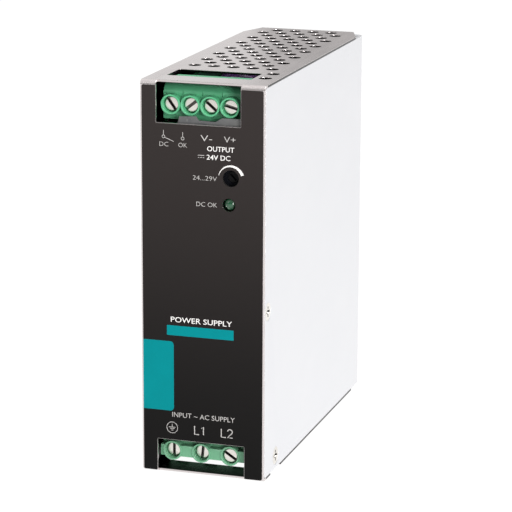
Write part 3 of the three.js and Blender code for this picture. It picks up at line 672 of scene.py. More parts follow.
def wound(name, pale, deep, pitch, metal, rough):
    """Turns of wire or tape lying side by side across the bobbin."""
    finish = Finish(name, Metallic=metal)
    turns = (finish.along("X") * (2 * math.pi / (pitch * MM))).sine()
    cloud = finish.noise(300, 3, 0.6)
    # Painted shade: the colour deepens in the grooves between turns, on the same wave as the bump.
    finish.feed("Base Color", finish.mix(turns * 0.3 + cloud * 0.4 + 0.15, deep, pale))
    finish.feed("Roughness", rough + (cloud - 0.5) * 0.2)
    return finish.bump(turns, 0.5, pitch / 3)


def ferrite():
    """Pressed ferrite: matt dark ceramic with pores and chipped edges."""
    finish = Finish("ferrite_core", Specular_IOR_Level=0.4)
    pore = finish.ramp(finish.cells(2400), 0.08, 0.3)
    cloud = finish.noise(240, 4, 0.6)
    edge = finish.worn(0.52, 0.62)
    tone = finish.mix(cloud, colour(38, 38, 41), colour(62, 61, 63))
    finish.feed("Base Color", finish.mix(edge * 0.4, tone, colour(110, 108, 106)))
    finish.feed("Roughness", 0.62 + (cloud - 0.5) * 0.2)
    return finish.bump(pore, 0.4, 0.06)


def shrunk_sleeve(name, pale, deep):
    """Heat-shrunk sleeve: drawn gloss, faint pull lines round the can."""
    finish = Finish(name, Specular_IOR_Level=0.5, Coat_Roughness=0.15)
    pull = finish.noise(500, 3, 0.6, 3, 0.6, 0.6)
    cloud = finish.noise(120, 3, 0.5)
    finish.feed("Base Color", finish.mix(cloud, deep, pale))
    finish.feed("Roughness", 0.26 + (pull - 0.5) * 0.2)
    finish.feed("Coat Weight", 0.2 + cloud * 0.3)
    return finish.bump(pull, 0.15, 0.05)


def lens():
    """Tinted lamp epoxy, darker in its depth, with a polished skin."""
    finish = Finish("lamp_lens", Specular_IOR_Level=0.6, Coat_Weight=0.6, Coat_Roughness=0.05)
    swirl = finish.noise(900, 3, 0.6)
    finish.feed("Base Color", finish.mix(swirl, colour(9, 44, 27), colour(20, 84, 50)))
    finish.feed("Roughness", 0.12 + swirl * 0.12)
    return finish.bump(swirl, 0.08, 0.03)


# The steel takes painted shade within the case skin and on the cut walls of its vents.
CASE_STEEL = sheet_metal(
    "satin_case_steel",
    colour(230, 223, 222),
    colour(200, 193, 192),
    0.3,
    (1.4, 0.08, 1.4),
    (0.55, 0.72),
    1.0,
)
# The alloy takes painted shade on its faces within the case skin.
CASE_ALLOY = sheet_metal(
    "anodised_case_alloy",
    colour(240, 240, 242),
    colour(229, 230, 234),
    0.46,
    (1, 0.12, 1),
    (0.95, 1.3),
)
LABEL_FILM = printed_film()
WHITE_INK = ink("white_ink", colour(236, 234, 231), colour(205, 202, 199))
FINE_INK = ink("fine_white_ink", colour(190, 187, 184), colour(160, 157, 155))
TEAL_INK = ink("teal_ink", colour(0, 131, 136), colour(0, 116, 121))
CLEAR_FILM = clear_film()
GREEN_PLASTIC = moulded("green_terminal_plastic", colour(86, 172, 126), colour(66, 148, 104))
PALE_GREEN_PLASTIC = moulded(
    "pale_green_terminal_plastic", colour(108, 164, 128), colour(86, 144, 110)
)
SCREW_METAL = plated("plated_screw_metal", colour(250, 247, 241), colour(214, 209, 201), 0.3)
CAGE_METAL = plated("plated_cage_metal", colour(226, 224, 218), colour(178, 175, 168), 0.34)
CONTACT_METAL = plated("tinned_contact_metal", colour(216, 200, 150), colour(176, 150, 96), 0.34)
BOARD = laminate()
POST_PLASTIC = moulded("post_plastic", colour(232, 230, 222), colour(214, 210, 200), 0.45)
TRIMMER_PLASTIC = moulded("trimmer_plastic", colour(8, 10, 18), colour(4, 5, 10), 0.5, shine=0.1)
ROTOR_PLASTIC = moulded("rotor_plastic", colour(11, 11, 13), colour(5, 5, 7), 0.5, shine=0.1)
LAMP_LENS = lens()
FERRITE = ferrite()
WINDING_TAPE = wound("winding_tape", colour(232, 196, 74), colour(186, 146, 40), 2.4, 0.0, 0.42)
COPPER_WIRE = wound("copper_wire", colour(196, 116, 62), colour(134, 70, 34), 0.9, 1.0, 0.3)
CAN_SLEEVE = shrunk_sleeve("dark_can_sleeve", colour(44, 44, 50), colour(24, 24, 28))
VIOLET_SLEEVE = shrunk_sleeve("violet_can_sleeve", colour(104, 58, 124), colour(74, 38, 92))
PACKAGE_EPOXY = moulded("package_epoxy", colour(48, 48, 51), colour(32, 32, 35), 0.58, 1800)
RELAY_PLASTIC = moulded("relay_plastic", colour(226, 220, 202), colour(206, 198, 178), 0.44)
FUSE_CERAMIC = shrunk_sleeve("fuse_ceramic", colour(226, 222, 212), colour(200, 194, 182))
CLIP_ALLOY = sheet_metal(
    "cast_clip_alloy", colour(214, 215, 219), colour(180, 182, 187), 0.48, (1, 1, 1)
)
LATCH_STEEL = sheet_metal(
    "latch_steel", colour(214, 212, 208), colour(170, 168, 165), 0.32, (1.4, 1.4, 0.1)
)
SPRING_STEEL = plated("spring_steel", colour(206, 204, 200), colour(140, 138, 134), 0.26)


# Case ----------------------------------------------------------------------------------

BEND_RUN = BEND * math.pi / 2
FLAT_HALF = HEIGHT / 2 - BEND


def vent_centres():
    """Staggered rows of vents, and the two lone ones beside the wire window."""
    rows = int((DEPTH - VENT_BACK - VENT - VENT_FIRST) // VENT_ROW) + 1
    spots = []
    for number in range(rows):
        across = VENT_ACROSS - number % 2
        for i in range(across):
            spots.append(((i - (across - 1) / 2) * VENT_PITCH, VENT_FIRST + number * VENT_ROW))
    return spots + [(RIGHT - LONE_VENT_IN, y) for y in LONE_VENTS_Y]


def developed(y):
    """Place along the flat blank of a point that lies y back on the top sheet."""
    return FLAT_HALF + BEND_RUN + y - BEND


def folded(x, s, t):
    """Where a point of the flat blank goes once both flanges are bent back."""
    side = 1 if s >= 0 else -1
    run = abs(s)
    deep = -t
    if run <= FLAT_HALF:
        y, up = deep, run
    elif run <= FLAT_HALF + BEND_RUN:
        a = (run - FLAT_HALF) / BEND
        radius = BEND - deep
        y, up = BEND - radius * math.cos(a), FLAT_HALF + radius * math.sin(a)
    else:
        y, up = BEND + run - FLAT_HALF - BEND_RUN, HEIGHT / 2 - deep
    return x, y, HEIGHT / 2 + side * up


def ring(u, v, radius, sides):
    return arc(u, v, radius, 0, 360 * (1 - 1 / sides), sides - 1)


def front_wrap():
    """One steel blank with its openings, folded back at the top and the bottom."""
    end = developed(STEEL_END)
    tab_edge = RIGHT - PANEL - TAB_ROOM
    low, front = middle("side_screw_right_low"), middle("side_screw_right_front")
    tab_near = -developed(low.y - TAB_LONG / 2)
    tab_far = -developed(low.y + TAB_LONG / 2)
    right_half = [
        (RIGHT - CROP_WIDE, -end),
        (RIGHT, -end + CROP_LONG),
        (RIGHT, tab_far),
        (tab_edge, tab_far),
        (tab_edge, tab_near),
        (RIGHT, tab_near),
        (RIGHT, end - CROP_LONG),
        (RIGHT - CROP_WIDE, end),
    ]
    outline = right_half + [(-x, s) for x, s in reversed(right_half)]
    notch_edge = developed(BEND)
    holes = [
        rectangle(NOTCH_LEFT, TOP_NOTCH_RIGHT, TOP_NOTCH_FLOOR - HEIGHT / 2, notch_edge),
        rectangle(NOTCH_LEFT, LOW_NOTCH_RIGHT, -notch_edge, LOW_NOTCH_TOP - HEIGHT / 2),
    ]
    for side, right in ((1, TOP_NOTCH_RIGHT), (-1, LOW_NOTCH_RIGHT)):
        near, far = side * developed(BAR_END), side * developed(WINDOW_END)
        holes.append(rounded(rectangle(NOTCH_LEFT, right, near, far), 0.5, 3))
        for x, y in vent_centres():
            holes.append(ring(x, side * developed(y), VENT, 36))
    lamp, trimmer = middle("ready_lamp"), middle("trimmer_rotor")
    holes.append(ring(lamp.x, lamp.z - HEIGHT / 2, LAMP_HOLE, 40))
    holes.append(ring(trimmer.x, trimmer.z - HEIGHT / 2, TRIMMER_HOLE, 48))
    bm = flat_sheet(outline, holes, SHEET, EDGE)
    for side in (1, -1):
        for i in range(9):
            s = side * (FLAT_HALF + BEND_RUN * i / 8)
            everything = bm.verts[:] + bm.edges[:] + bm.faces[:]
            bmesh.ops.bisect_plane(
                bm, geom=everything, dist=1e-4, plane_co=(0, s, 0), plane_no=(0, 1, 0)
            )
    for vertex in bm.verts:
        vertex.co = folded(*vertex.co)
    sheet = solid(bm)
    half = TAB_LONG / 2
    tabs, bores = [], []
    for side in (-1, 1):
        a, b = sorted((side * tab_edge, side * (tab_edge - SHEET)))
        tabs.append(block(a, b, low.y - half, low.y + half, 0.02, low.z + TAB_REACH))
        tabs.append(block(a, b, 0.02, front.y + TAB_REACH, front.z - half, front.z + half))
        for place in (low, front):
            bores.append(rod(SHANK_HOLE, "x", (place.y, place.z), a - 1, b + 1, 24))
    return cut(joined(sheet, *tabs), *bores)


def body_shell():
    """Aluminium sides and back in one, bent round the back corners, with lips under the steel."""
    inner = CORNER - PANEL
    wall = RIGHT - PANEL
    front = SHEET + SHELL_GAP
    low, high = shell_low.z, shell_high.z
    outline = [(-RIGHT, front), (-wall, front)]
    outline += arc(-wall + inner, DEPTH - PANEL - inner, inner, 180, 90, 10)
    outline += arc(wall - inner, DEPTH - PANEL - inner, inner, 90, 0, 10)
    outline += [(wall, front), (RIGHT, front)]
    outline += arc(RIGHT - CORNER, DEPTH - CORNER, CORNER, 0, 90, 14)
    outline += arc(-RIGHT + CORNER, DEPTH - CORNER, CORNER, 90, 180, 14)
    body = prism(outline, "z", low, high)
    lip, ear, ear_long = wall - 0.3, 3, 12
    lips = []
    for z in (low, high - PANEL):
        back = DEPTH - PANEL + 0.1
        lips.append(block(-lip, lip, DEPTH - PANEL - 1, back, z, z + PANEL))
        lips.append(block(-lip, -lip + ear, DEPTH - ear_long, back, z, z + PANEL))
        lips.append(block(lip - ear, lip, DEPTH - ear_long, back, z, z + PANEL))
    body = joined(body, *lips)
    tools = []
    for where in ("low", "front"):
        place = middle("side_screw_right_" + where)
        for side in (-1, 1):
            seat = [
                (SHANK_HOLE, side * (RIGHT - PANEL - 1)),
                (SHANK_HOLE, side * (RIGHT - 1.4)),
                (3.0, side * RIGHT),
                (3.2, side * (RIGHT + 0.2)),
            ]
            tools.append(turned(seat, "x", (place.y, place.z), 48))
    for number in (1, 2):
        place = middle(f"rail_screw_{number}")
        tools.append(rod(SHANK_HOLE, "y", (place.x, place.z), DEPTH - PANEL - 1, DEPTH + 1, 24))
    crop = BEND * 1.6
    tools.append(prism([(0, 0), (crop, 0), (0, crop)], "x", -RIGHT - 1, RIGHT + 1))
    top_corner = [(0, HEIGHT), (0, HEIGHT - crop), (crop, HEIGHT)]
    tools.append(prism(top_corner, "x", -RIGHT - 1, RIGHT + 1))
    return broken_edges(cut(body, *tools), 0.1, 1)


def upright(bm, face):
    """Stands a flat blank up against the front, with its face at this y."""
    for vertex in bm.verts:
        x, z, t = vertex.co
        vertex.co = (x, face - t, z)
    return solid(bm)


label_low, label_high = span("front_label")


def front_label():
    lamp, trimmer = middle("ready_lamp"), middle("trimmer_rotor")
    left, right = label_low.x, label_high.x
    bottom, top = label_low.z, label_high.z
    notch_left = NOTCH_LEFT - LABEL_ROOM
    low_right, low_top = LOW_NOTCH_RIGHT + LABEL_ROOM, LOW_NOTCH_TOP + LABEL_ROOM
    top_right, top_floor = TOP_NOTCH_RIGHT + LABEL_ROOM, TOP_NOTCH_FLOOR - LABEL_ROOM
    corners = [
        (left, bottom),
        (notch_left, bottom),
        (notch_left, low_top),
        (low_right, low_top),
        (low_right, bottom),
        (right, bottom),
        (right, top),
        (top_right, top),
        (top_right, top_floor),
        (notch_left, top_floor),
        (notch_left, top),
        (left, top),
    ]
    outline = rounded(corners, [0.5, 0.2, 0.3, 0.3, 0.2, 0.5, 0.5, 0.2, 0.3, 0.3, 0.2, 0.5], 4)
    holes = [ring(lamp.x, lamp.z, LAMP_HOLE, 48), ring(trimmer.x, trimmer.z, TRIMMER_HOLE, 56)]
    return upright(flat_sheet(outline, holes, FILM, 0.03), -FILM)


# Marks on the label --------------------------------------------------------------------

# Height of the font's capitals, as a share of its size
CAPITAL = 0.729


def plate_mark(outline, holes=()):
    """A flat printed shape on the label, outline in x and z."""
    bm = flat_sheet(list(outline), [list(h) for h in holes], INK_BACK - INK_FACE, 0.002)
    return upright(bm, INK_FACE)


def stroke(points, width):
    """A printed line of even width through the points."""
    left, right = [], []
    for i, point in enumerate(points):
        ahead = Vector(points[min(i + 1, len(points) - 1)])
        behind = Vector(points[max(i - 1, 0)])
        way = (ahead - behind).normalized()
        across = Vector((-way.y, way.x)) * width / 2
        left.append(tuple(Vector(point) + across))
        right.append(tuple(Vector(point) - across))
    return plate_mark(left + right[::-1])


def lettering(words, x, z, cap, wide, weight=0.0):
    """Printed letters centred on x and z, cap high and wide across."""
    text = bpy.data.curves.new("letters", "FONT")
    text.body = words
    text.extrude = 0.02
    text.offset = weight
    text.resolution_u = 3
    bm = bmesh_of("letters", text)
    us = [v.co.x for v in bm.verts]
    u0, u1 = min(us), max(us)
    for vertex in bm.verts:
        u, v, t = vertex.co
        depth = INK_FACE if t > 0 else INK_BACK
        vertex.co = (
            x + ((u - u0) / (u1 - u0) - 0.5) * wide,
            depth,
            z + (v / CAPITAL - 0.5) * cap,
        )
    return solid(bm)


def turn_arc(x, z, radius, start, end, thin, thick):
    """An arc that swells from thin to thick, for the direction of more."""
    steps = 28
    inner, outer = [], []
    for i in range(steps + 1):
        share = i / steps
        a = math.radians(start + (end - start) * share)
        half = (thin + (thick - thin) * share) / 2
        for line, reach in ((inner, radius - half), (outer, radius + half)):
            line.append((x + reach * math.cos(a), z + reach * math.sin(a)))
    return plate_mark(inner + outer[::-1])


def open_ring(x, z, radius, line):
    return plate_mark(ring(x, z, radius + line / 2, 32), [ring(x, z, radius - line / 2, 32)])


def bold_marks():
    trimmer = middle("trimmer_rotor")
    marks = [
        lettering("OUTPUT", 6.0, 105.15, 1.6, 8.7, 0.008),
        lettering("24V DC", 5.3, 102.5, 1.6, 7.6, 0.008),
        lettering("POWER SUPPLY", -0.3, 50.4, 1.75, 20.0, 0.006),
        turn_arc(trimmer.x, trimmer.z, 3.9, 168, 18, 0.12, 0.95),
    ]
    return gather(marks)


def fine_marks():
    lamp, trimmer = middle("ready_lamp"), middle("trimmer_rotor")
    marks = [
        lettering("V-", 1.4, 108.3, 2.0, 3.7, -0.008),
        lettering("V+", 8.9, 108.3, 2.0, 3.7, -0.008),
        lettering("DC", -12.3, 105.7, 1.45, 2.8, -0.012),
        lettering("OK", -6.2, 105.7, 1.45, 2.8, -0.012),
        lettering("24...29V", 0.9, trimmer.z - 0.3, 1.5, 7.8, -0.012),
        lettering("DC OK", 1.5, lamp.z - 0.2, 1.5, 6.7, -0.012),
        lettering("INPUT ~ AC SUPPLY", 0.3, 19.5, 1.65, 20.6, -0.006),
    ]
    # L1 and L2, drawn in strokes.
    foot, tall = -1.35, 1.35
    letter_l = [(-1.7, tall), (-1.7, foot), (-0.2, foot)]
    one = [(0.55, 0.75), (1.25, tall), (1.25, foot)]
    two = arc(1.15, 0.55, 0.78, 170, -40, 10) + [(0.35, foot), (2.05, foot)]
    for x, figure in ((-0.9, one), (7.9, two)):
        for run in (letter_l, figure):
            marks.append(stroke([(x + u, 14.95 + v) for u, v in run], 0.3))
    # Direct current: a bar over three dashes.
    marks.append(stroke([(-1.3, 102.9), (0.7, 102.9)], 0.18))
    for i in range(3):
        marks.append(stroke([(-1.3 + 0.77 * i, 102.2), (-0.84 + 0.77 * i, 102.2)], 0.18))
    # Relay contact: two terminals and the blade of the first.
    for x, z in ((-12.4, 108.0), (-6.2, 107.7)):
        marks.append(open_ring(x, z, 0.45, 0.16))
        marks.append(stroke([(x, z + 0.5), (x, z + 2.0)], 0.15))
    marks.append(stroke([(-12.0, 107.75), (-9.1, 106.6)], 0.15))
    # Protective earth.
    marks.append(open_ring(-10.0, 15.1, 1.8, 0.16))
    marks.append(stroke([(-10.0, 16.3), (-10.0, 15.3)], 0.16))
    for i, half in enumerate((1.1, 0.72, 0.34)):
        z = 15.25 - 0.5 * i
        marks.append(stroke([(-10.0 - half, z), (-10.0 + half, z)], 0.17))
    return gather(marks)


def teal_marks():
    """A plain strip and a plain block of colour."""
    strip = rounded(rectangle(-11.6, 10.2, 45.2, 48.4), 0.15, 2)
    edge = label_low.x + 0.02
    flag = rounded(rectangle(edge, -9.4, 20.6, 43.2), [0, 1.2, 1.2, 0], 6)
    return gather([plate_mark(strip), plate_mark(flag)])


# Terminals -----------------------------------------------------------------------------

WELL = 5.1
ENTRY = 4.3
ENTRY_DEEP = 4.4
BOSS = 3.15
BOSS_LONG = 2.9
BOSS_LIP = 0.22
BORE = 2.55
BORE_LIP = 0.14
LEDGE = 1.8
GROOVE = 1.25
GROOVE_FRONT = 9.85
SEAM = 0.09


def terminal(kind, poles, up):
    """A row of poles: housing, screw bosses, clamp wells and wire entries."""
    low, high = span(kind + "_terminal")
    screws = [middle(f"{kind}_screw_{i}") for i in range(1, poles + 1)]
    cages = [span(f"{kind}_cage_{i}") for i in range(1, poles + 1)]
    face, back = low.y, high.y
    front = face + BOSS_LONG
    z = screws[0].z
    if up > 0:
        shoulder, crest = z + BOSS - 0.2, 6.2
        outline = [(front, low.z), (back, low.z), (back, high.z)]
        outline += arc(front + crest, shoulder, crest, 90, 180, 18, high.z - shoulder)
    else:
        outline = [
            (front, z - 2.6),
            (back - 5.4, low.z),
            (back, low.z),
            (back, high.z),
            (front + 0.9, high.z),
            (front, high.z - 0.9),
        ]
    parts = []
    if up < 0:
        ledge = rectangle(face + 0.3, front + 0.2, z - LEDGE, z + LEDGE)
        parts.append(prism(ledge, "x", low.x, high.x))
    tools = []
    for screw, (cage_low, cage_high) in zip(screws, cages):
        x = screw.x
        boss = [
            (BOSS - BOSS_LIP, face),
            (BOSS - BOSS_LIP * 0.3, face + BOSS_LIP * 0.3),
            (BOSS, face + BOSS_LIP),
            (BOSS, front + 0.3),
        ]
        parts.append(turned(boss, "y", (x, z), 64))
        bore = [
            (BORE + BORE_LIP, face - 0.2),
            (BORE + BORE_LIP, face),
            (BORE, face + BORE_LIP),
            (BORE, front + 0.9),
        ]
        tools.append(turned(bore, "y", (x, z), 64))
        well_front = front + 0.4
        well_back = cage_high.y + 0.2
        floor = z - up * (cage_high.z - cage_low.z + 0.4) / 2
        well = sorted((floor, floor + up * (cage_high.z - cage_low.z + 0.3)))
        tools.append(block(x - WELL / 2, x + WELL / 2, well_front, well_back, *well))
        entry = sorted((z, z + up * 30))
        entry_front = well_back - ENTRY_DEEP
        tools.append(block(x - ENTRY / 2, x + ENTRY / 2, entry_front, well_back, *entry))
        groove = sorted((floor - up * 0.82, floor + up * 0.1))
        tools.append(block(x - GROOVE, x + GROOVE, GROOVE_FRONT, back + 1, *groove))
    for first, second in zip(screws, screws[1:]):
        x = (first.x + second.x) / 2
        if up > 0:
            seam = (z + BOSS - 0.6, z + BOSS + 2.4)
            tools.append(block(x - SEAM, x + SEAM, front - 0.5, front + 0.35, *seam))
    body = joined(prism(outline, "x", low.x, high.x), *parts)
    return broken_edges(cut(body, *tools), 0.09, 2)


def clamp_screw(node):
    """Slotted head sunk in its bore, plain shank behind."""
    low, high, x, z = bounds_of(node)
    radius = (high.x - low.x) / 2
    face, tip = low.y, high.y
    profile = [
        (0, face),
        (radius - 0.35, face + 0.02),
        (radius - 0.1, face + 0.14),
        (radius, face + 0.34),
        (radius, face + 1.5),
        (radius - 0.1, face + 1.6),
        (SHANK, face + 1.62),
        (SHANK, tip - 0.35),
        (1.1, tip),
        (0, tip),
    ]
    body = turned(profile, "y", (x, z), 56)
    slot = block(-5, 5, face - 1, face + SLOT_DEEP, -SCREW_SLOT / 2, SCREW_SLOT / 2)
    turn = Matrix.Rotation(math.radians(-SLOT_ANGLES[node]), 4, "Y")
    slot.data.transform(Matrix.Translation((x, 0, z)) @ turn)
    return broken_edges(cut(body, slot), 0.05, 2, 40)


SLOT_ANGLES = {
    "output_screw_1": -55,
    "output_screw_2": 38,
    "output_screw_3": -40,
    "output_screw_4": -15,
    "input_screw_1": 90,
    "input_screw_2": 84,
    "input_screw_3": -33,
}


def recessed_screw(node, axis, outward):
    """Flat-head cross-recess screw along the axis; outward is the way its head faces."""
    low, high = span(node)
    radius = (high.z - low.z) / 2
    if axis == "x":
        centre = ((low.y + high.y) / 2, (low.z + high.z) / 2)
        head, tip = (high.x, low.x) if outward > 0 else (low.x, high.x)
    else:
        centre = ((low.x + high.x) / 2, (low.z + high.z) / 2)
        head, tip = high.y, low.y

    def at(depth):
        return head - outward * depth

    length = abs(head - tip)
    profile = [
        (0, at(0)),
        (radius - 0.18, at(0)),
        (radius, at(0.14)),
        (SHANK, at(1.5)),
        (SHANK, at(length - 0.4)),
        (1.05, at(length)),
        (0, at(length)),
    ]
    body = turned(profile, axis, centre, 56)
    u, v = centre
    deep = sorted((at(-1), at(0.95)))
    tools = []
    for wide, tall in ((1.7, 0.32), (0.32, 1.7)):
        arm = rectangle(u - wide, u + wide, v - tall, v + tall)
        tools.append(prism(arm, axis, *deep))
    tools.append(turned([(1.0, at(-1)), (0.95, at(0)), (0.35, at(1.15))], axis, centre, 24))
    return broken_edges(cut(body, *tools), 0.05, 2, 40)


# Front controls ------------------------------------------------------------------------

ROTOR = 1.74
ROTOR_BORE = 1.87


def ready_lamp():
    low, high, x, z = bounds_of("ready_lamp")
    radius, flange = 1.9, (high.x - low.x) / 2
    face = low.y
    angles = [math.pi / 2 * i / 10 for i in range(11)]
    dome = [(radius * math.sin(a), face + 1.3 * (1 - math.cos(a))) for a in angles]
    legs_start = high.y - 1.2
    profile = dome + [
        (radius, legs_start - 1.0),
        (flange, legs_start - 0.95),
        (flange, legs_start - 0.05),
        (flange - 0.1, legs_start),
        (0, legs_start),
    ]
    lamp = turned(profile, "y", (x, z), 56)
    legs = [
        block(x + d - 0.25, x + d + 0.25, legs_start - 0.2, high.y, z - 0.25, z + 0.25)
        for d in (-1.27, 1.27)
    ]
    return joined(lamp, *legs)


def trimmer_body():
    low, high, x, z = bounds_of("trimmer_body")
    square = rounded(rectangle(low.x, high.x, low.z, high.z), 0.5, 4)
    body = prism(square, "y", low.y, high.y)
    bore = rod(ROTOR_BORE, "y", (x, z), low.y - 1, low.y + 2.6, 40)
    return broken_edges(cut(body, bore), 0.12, 2)


def trimmer_rotor():
    low, high, x, z = bounds_of("trimmer_rotor")
    body = rod(ROTOR, "y", (x, z), low.y, high.y, 48)
    slot = block(-1.3, 1.3, low.y - 1, low.y + 0.8, -0.3, 0.3)
    slot.data.transform(Matrix.Translation((x, 0, z)) @ Matrix.Rotation(math.radians(45), 4, "Y"))
    return broken_edges(cut(body, slot), 0.08, 2)


# Inside --------------------------------------------------------------------------------


def can(node):
    """Capacitor: sleeve drawn over the rim, crimped groove near the seal."""
    low, high = span(node)
    y, z = (low.y + high.y) / 2, (low.z + high.z) / 2
    r = (high.z - low.z) / 2
    base, top = low.x, high.x
    profile = [
        (0, base),
        (r - 0.6, base),
        (r, base + 0.5),
        (r, base + 1.9),
        (r - 0.15, base + 2.2),
        (r - 0.5, base + 2.6),
        (r - 0.15, base + 3.0),
        (r, base + 3.3),
        (r, top - 0.7),
        (r - 0.2, top - 0.2),
        (r - 0.6, top),
        (r - 1.3, top - 0.05),
        (r - 1.35, top - 0.3),
        (0, top - 0.3),
    ]
    body = turned(profile, "x", (y, z), 56)
    tools = []
    for wide, tall in ((r * 0.6, 0.12), (0.12, r * 0.6)):
        tools.append(block(top - 0.45, top + 1, y - wide, y + wide, z - tall, z + tall))
    return cut(body, *tools)


def softened(node, width):
    """The node's own solid with its edges broken."""
    mesh = frame["nodes"][node].data.copy()
    mesh.transform(TO_CASE)
    bm = bmesh.new()
    bm.from_mesh(mesh)
    bmesh.ops.remove_doubles(bm, verts=bm.verts, dist=1e-3)
    bmesh.ops.dissolve_limit(
        bm, angle_limit=math.radians(0.5), verts=bm.verts, edges=bm.edges
    )
    return broken_edges(solid(bm), width, 2)


def latch_spring():
    """Coil between the latch and its post."""
    low, high = span("latch_spring")
    wire = 0.5
    radius = (high.x - low.x - wire) / 2
    x, y = (low.x + high.x) / 2, (low.y + high.y) / 2
    start, rise = low.z + wire / 2, high.z - low.z - wire
    turns, sides, steps = 5, 10, 34
    bm = bmesh.new()
    rings = []
    for i in range(turns * steps + 1):
        share = i / (turns * steps)
        a = share * turns * 2 * math.pi
        centre = Vector((x + radius * math.cos(a), y + radius * math.sin(a), start + rise * share))
        outward = Vector((math.cos(a), math.sin(a), 0))
        loop = []
        for k in range(sides):
            b = 2 * math.pi * k / sides
            spoke = outward * math.cos(b) + Vector((0, 0, 1)) * math.sin(b)
            loop.append(bm.verts.new(centre + spoke * wire / 2))
        rings.append(loop)
    return skinned(bm, rings, sides)


# Assembly ------------------------------------------------------------------------------

fitted(smooth(front_wrap()), "folded_steel_wrap", CASE_STEEL, "case_steel", "front_wrap")
fitted(smooth(body_shell()), "aluminium_body_shell", CASE_ALLOY, "case_alloy", "body_shell")
fitted(smooth(front_label()), "front_film_label", LABEL_FILM, "label_film", "front_label")
fitted(bold_marks(), "white_print", WHITE_INK, "label_film", body="case")
fitted(fine_marks(), "fine_white_print", FINE_INK, "label_film", body="case")
fitted(teal_marks(), "teal_print", TEAL_INK, "label_film", body="case")

FLAT_SCREWS = {
    "side_screw_right_front": ("x", 1),
    "side_screw_right_low": ("x", 1),
    "side_screw_left_front": ("x", -1),
    "side_screw_left_low": ("x", -1),
    "rail_screw_1": ("y", 1),
    "rail_screw_2": ("y", 1),
}
for node, (axis, outward) in FLAT_SCREWS.items():
    screw = recessed_screw(node, axis, outward)
    fitted(smooth(screw), "flat_" + node, SCREW_METAL, "screw_metal", node)

output_block = terminal("output", 4, 1)
fitted(smooth(output_block), "output_housing", GREEN_PLASTIC, "green_plastic", "output_terminal")
input_block = terminal("input", 3, -1)
fitted(
    smooth(input_block), "input_housing", PALE_GREEN_PLASTIC, "pale_green_plastic", "input_terminal"
)
for node in SLOT_ANGLES:
    fitted(smooth(clamp_screw(node)), "slotted_" + node, SCREW_METAL, "screw_metal", node)

fitted(smooth(ready_lamp()), "ready_lamp_lens", LAMP_LENS, "lamp_lens", "ready_lamp")
fitted(smooth(trimmer_body()), "trimmer_block", TRIMMER_PLASTIC, "trimmer_plastic", "trimmer_body")
fitted(smooth(trimmer_rotor()), "trimmer_dial", ROTOR_PLASTIC, "rotor_plastic", "trimmer_rotor")
for number in (1, 2):
    node = f"bulk_capacitor_{number}"
    fitted(smooth(can(node)), f"bulk_can_{number}", CAN_SLEEVE, "capacitor_sleeve", node)
    node = f"output_capacitor_{number}"
    fitted(smooth(can(node)), f"output_can_{number}", VIOLET_SLEEVE, "violet_sleeve", node)
SOFTENED = {
    "rail_base": (0.3, CLIP_ALLOY, "clip_alloy"),
    "rail_latch": (0.2, LATCH_STEEL, "case_steel"),
    "ready_relay": (0.5, RELAY_PLASTIC, "relay_plastic"),
    "bridge_rectifier": (0.4, PACKAGE_EPOXY, "package_epoxy"),
    "switch_transistor": (0.15, PACKAGE_EPOXY, "package_epoxy"),
    "heat_sink": (0.3, CLIP_ALLOY, "case_alloy"),
    "transformer_core": (0.4, FERRITE, "ferrite"),
    "choke_core": (0.4, FERRITE, "ferrite"),
    "transformer_winding": (0.8, WINDING_TAPE, "winding_tape"),
    "choke_winding": (0.8, COPPER_WIRE, "copper_wire"),
}
for node, (width, finish, slot) in SOFTENED.items():
    fitted(smooth(softened(node, width)), "shaped_" + node, finish, slot, node)

spring = fitted(smooth(latch_spring(), 60), "latch_coil", SPRING_STEEL, "spring_steel", "latch_spring")
spring_low, spring_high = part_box("latch_spring")
travel = next(j for j in frame["joints"] if j["name"] == "latch_slide")["range_m"][1]
spring_long = spring_high.z - spring_low.z
(spring_long - travel) / spring_long
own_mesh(spring)

CARRIED = {
    "board": BOARD,
    "board_post": POST_PLASTIC,
    "cage": CAGE_METAL,
    "contact": CONTACT_METAL,
    "insulation": CLEAR_FILM,
    "fuse": FUSE_CERAMIC,
}
for node, thing in frame["nodes"].items():
    if thing.hide_render:
        continue
    words = [key for key in CARRIED if key in node]
    finish = CARRIED[max(words, key=len)]
    thing.data.materials.clear()
    thing.data.materials.append(finish.material)

# Floor, light and camera ---------------------------------------------------------------

floor_bm = bmesh.new()
bmesh.ops.create_grid(floor_bm, x_segments=8, y_segments=8, size=6)
floor_mesh = bpy.data.meshes.new("studio_floor")
floor_bm.to_mesh(floor_mesh)
floor_bm.free()
floor = keep("studio_floor", floor_mesh)
floor.location.z = cad_low.z - 0.0002
floor_finish = Finish(
    "studio_floor",
    Specular_IOR_Level=0.1,
    Roughness=0.9,
    Base_Color=(0.05, 0.05, 0.05, 1),
    Emission_Color=WHITE,
    Emission_Strength=0.98,
)
floor.data.materials.append(floor_finish.material)

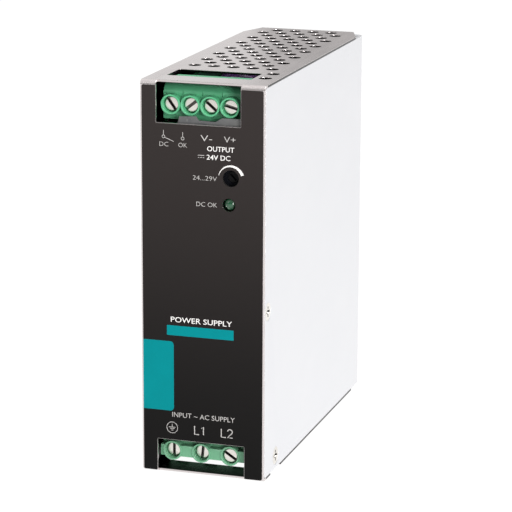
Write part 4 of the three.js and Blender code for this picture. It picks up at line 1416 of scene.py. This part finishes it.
# The room: a white backdrop, with a softer grey round the case that is paler above and behind.
world = bpy.data.worlds.new("studio")
bpy.context.scene.world = world
world.use_nodes = True
room = Nodes(world.node_tree)
facing = room.node("ShaderNodeTexCoord", output="Generated")
behind = room.ramp(room.node("ShaderNodeSeparateXYZ", {}, {0: facing}, "Y"), -0.3, 1.0)
above = room.ramp(room.node("ShaderNodeSeparateXYZ", {}, {0: facing}, "Z"), 0.1, 0.9)
glow = 0.14 + 0.26 * behind + 0.75 * above
backdrop = room.tree.nodes["Background"]
backdrop.inputs["Color"].default_value = WHITE
room.tree.links.new(glow.socket, backdrop.inputs["Strength"])
screen = room.node("ShaderNodeBackground", {}, {"Color": WHITE, "Strength": 1.0})
seen = room.node("ShaderNodeLightPath", output="Is Camera Ray")
shown = room.node(
    "ShaderNodeMixShader", {}, {0: seen, 1: Wire(room, backdrop.outputs[0]), 2: screen}
)
room.tree.links.new(shown.socket, room.tree.nodes["World Output"].inputs["Surface"])

centre = (cad_low + cad_high) / 2


def soft_light(name, direction, distance, size, power):
    """A square softbox that looks at the middle of the case."""
    lamp = bpy.data.lights.new(name, "AREA")
    lamp.size = size
    lamp.energy = power
    holder = keep(name, lamp)
    holder.location = centre + Vector(direction).normalized() * distance
    holder.rotation_euler = (centre - holder.location).to_track_quat("-Z", "Y").to_euler()


soft_light("key_box", (1.0, -0.7, 0.7), 0.8, 0.25, 2.5)
soft_light("front_box", (0.85, -1.0, 0.2), 0.8, 0.25, 4)
soft_light("fill_box", (-0.8, -1.0, 0.6), 1.0, 0.5, 0.8)
soft_light("top_box", (0.3, -0.5, 1.6), 0.7, 0.3, 1.5)
soft_light("rim_box", (-0.6, 0.9, 0.42), 0.3, 0.16, 0.03)

camera = bpy.data.cameras.new("camera")
camera.lens = 170.9
camera.sensor_width = 36
camera.clip_end = 30
viewer = keep("camera", camera)
viewer.location = (0.2342, -0.7472, 0.2511)
aim = Vector((-0.0004, -0.0047, 0.0581))
look = (aim - viewer.location).to_track_quat("-Z", "Y")
viewer.rotation_euler = (look.to_matrix() @ Matrix.Rotation(math.radians(0.22), 3, "Z")).to_euler()
bpy.context.scene.camera = viewer
bpy.context.scene.view_settings.view_transform = "Standard"
bpy.context.scene.view_settings.exposure = 0.0
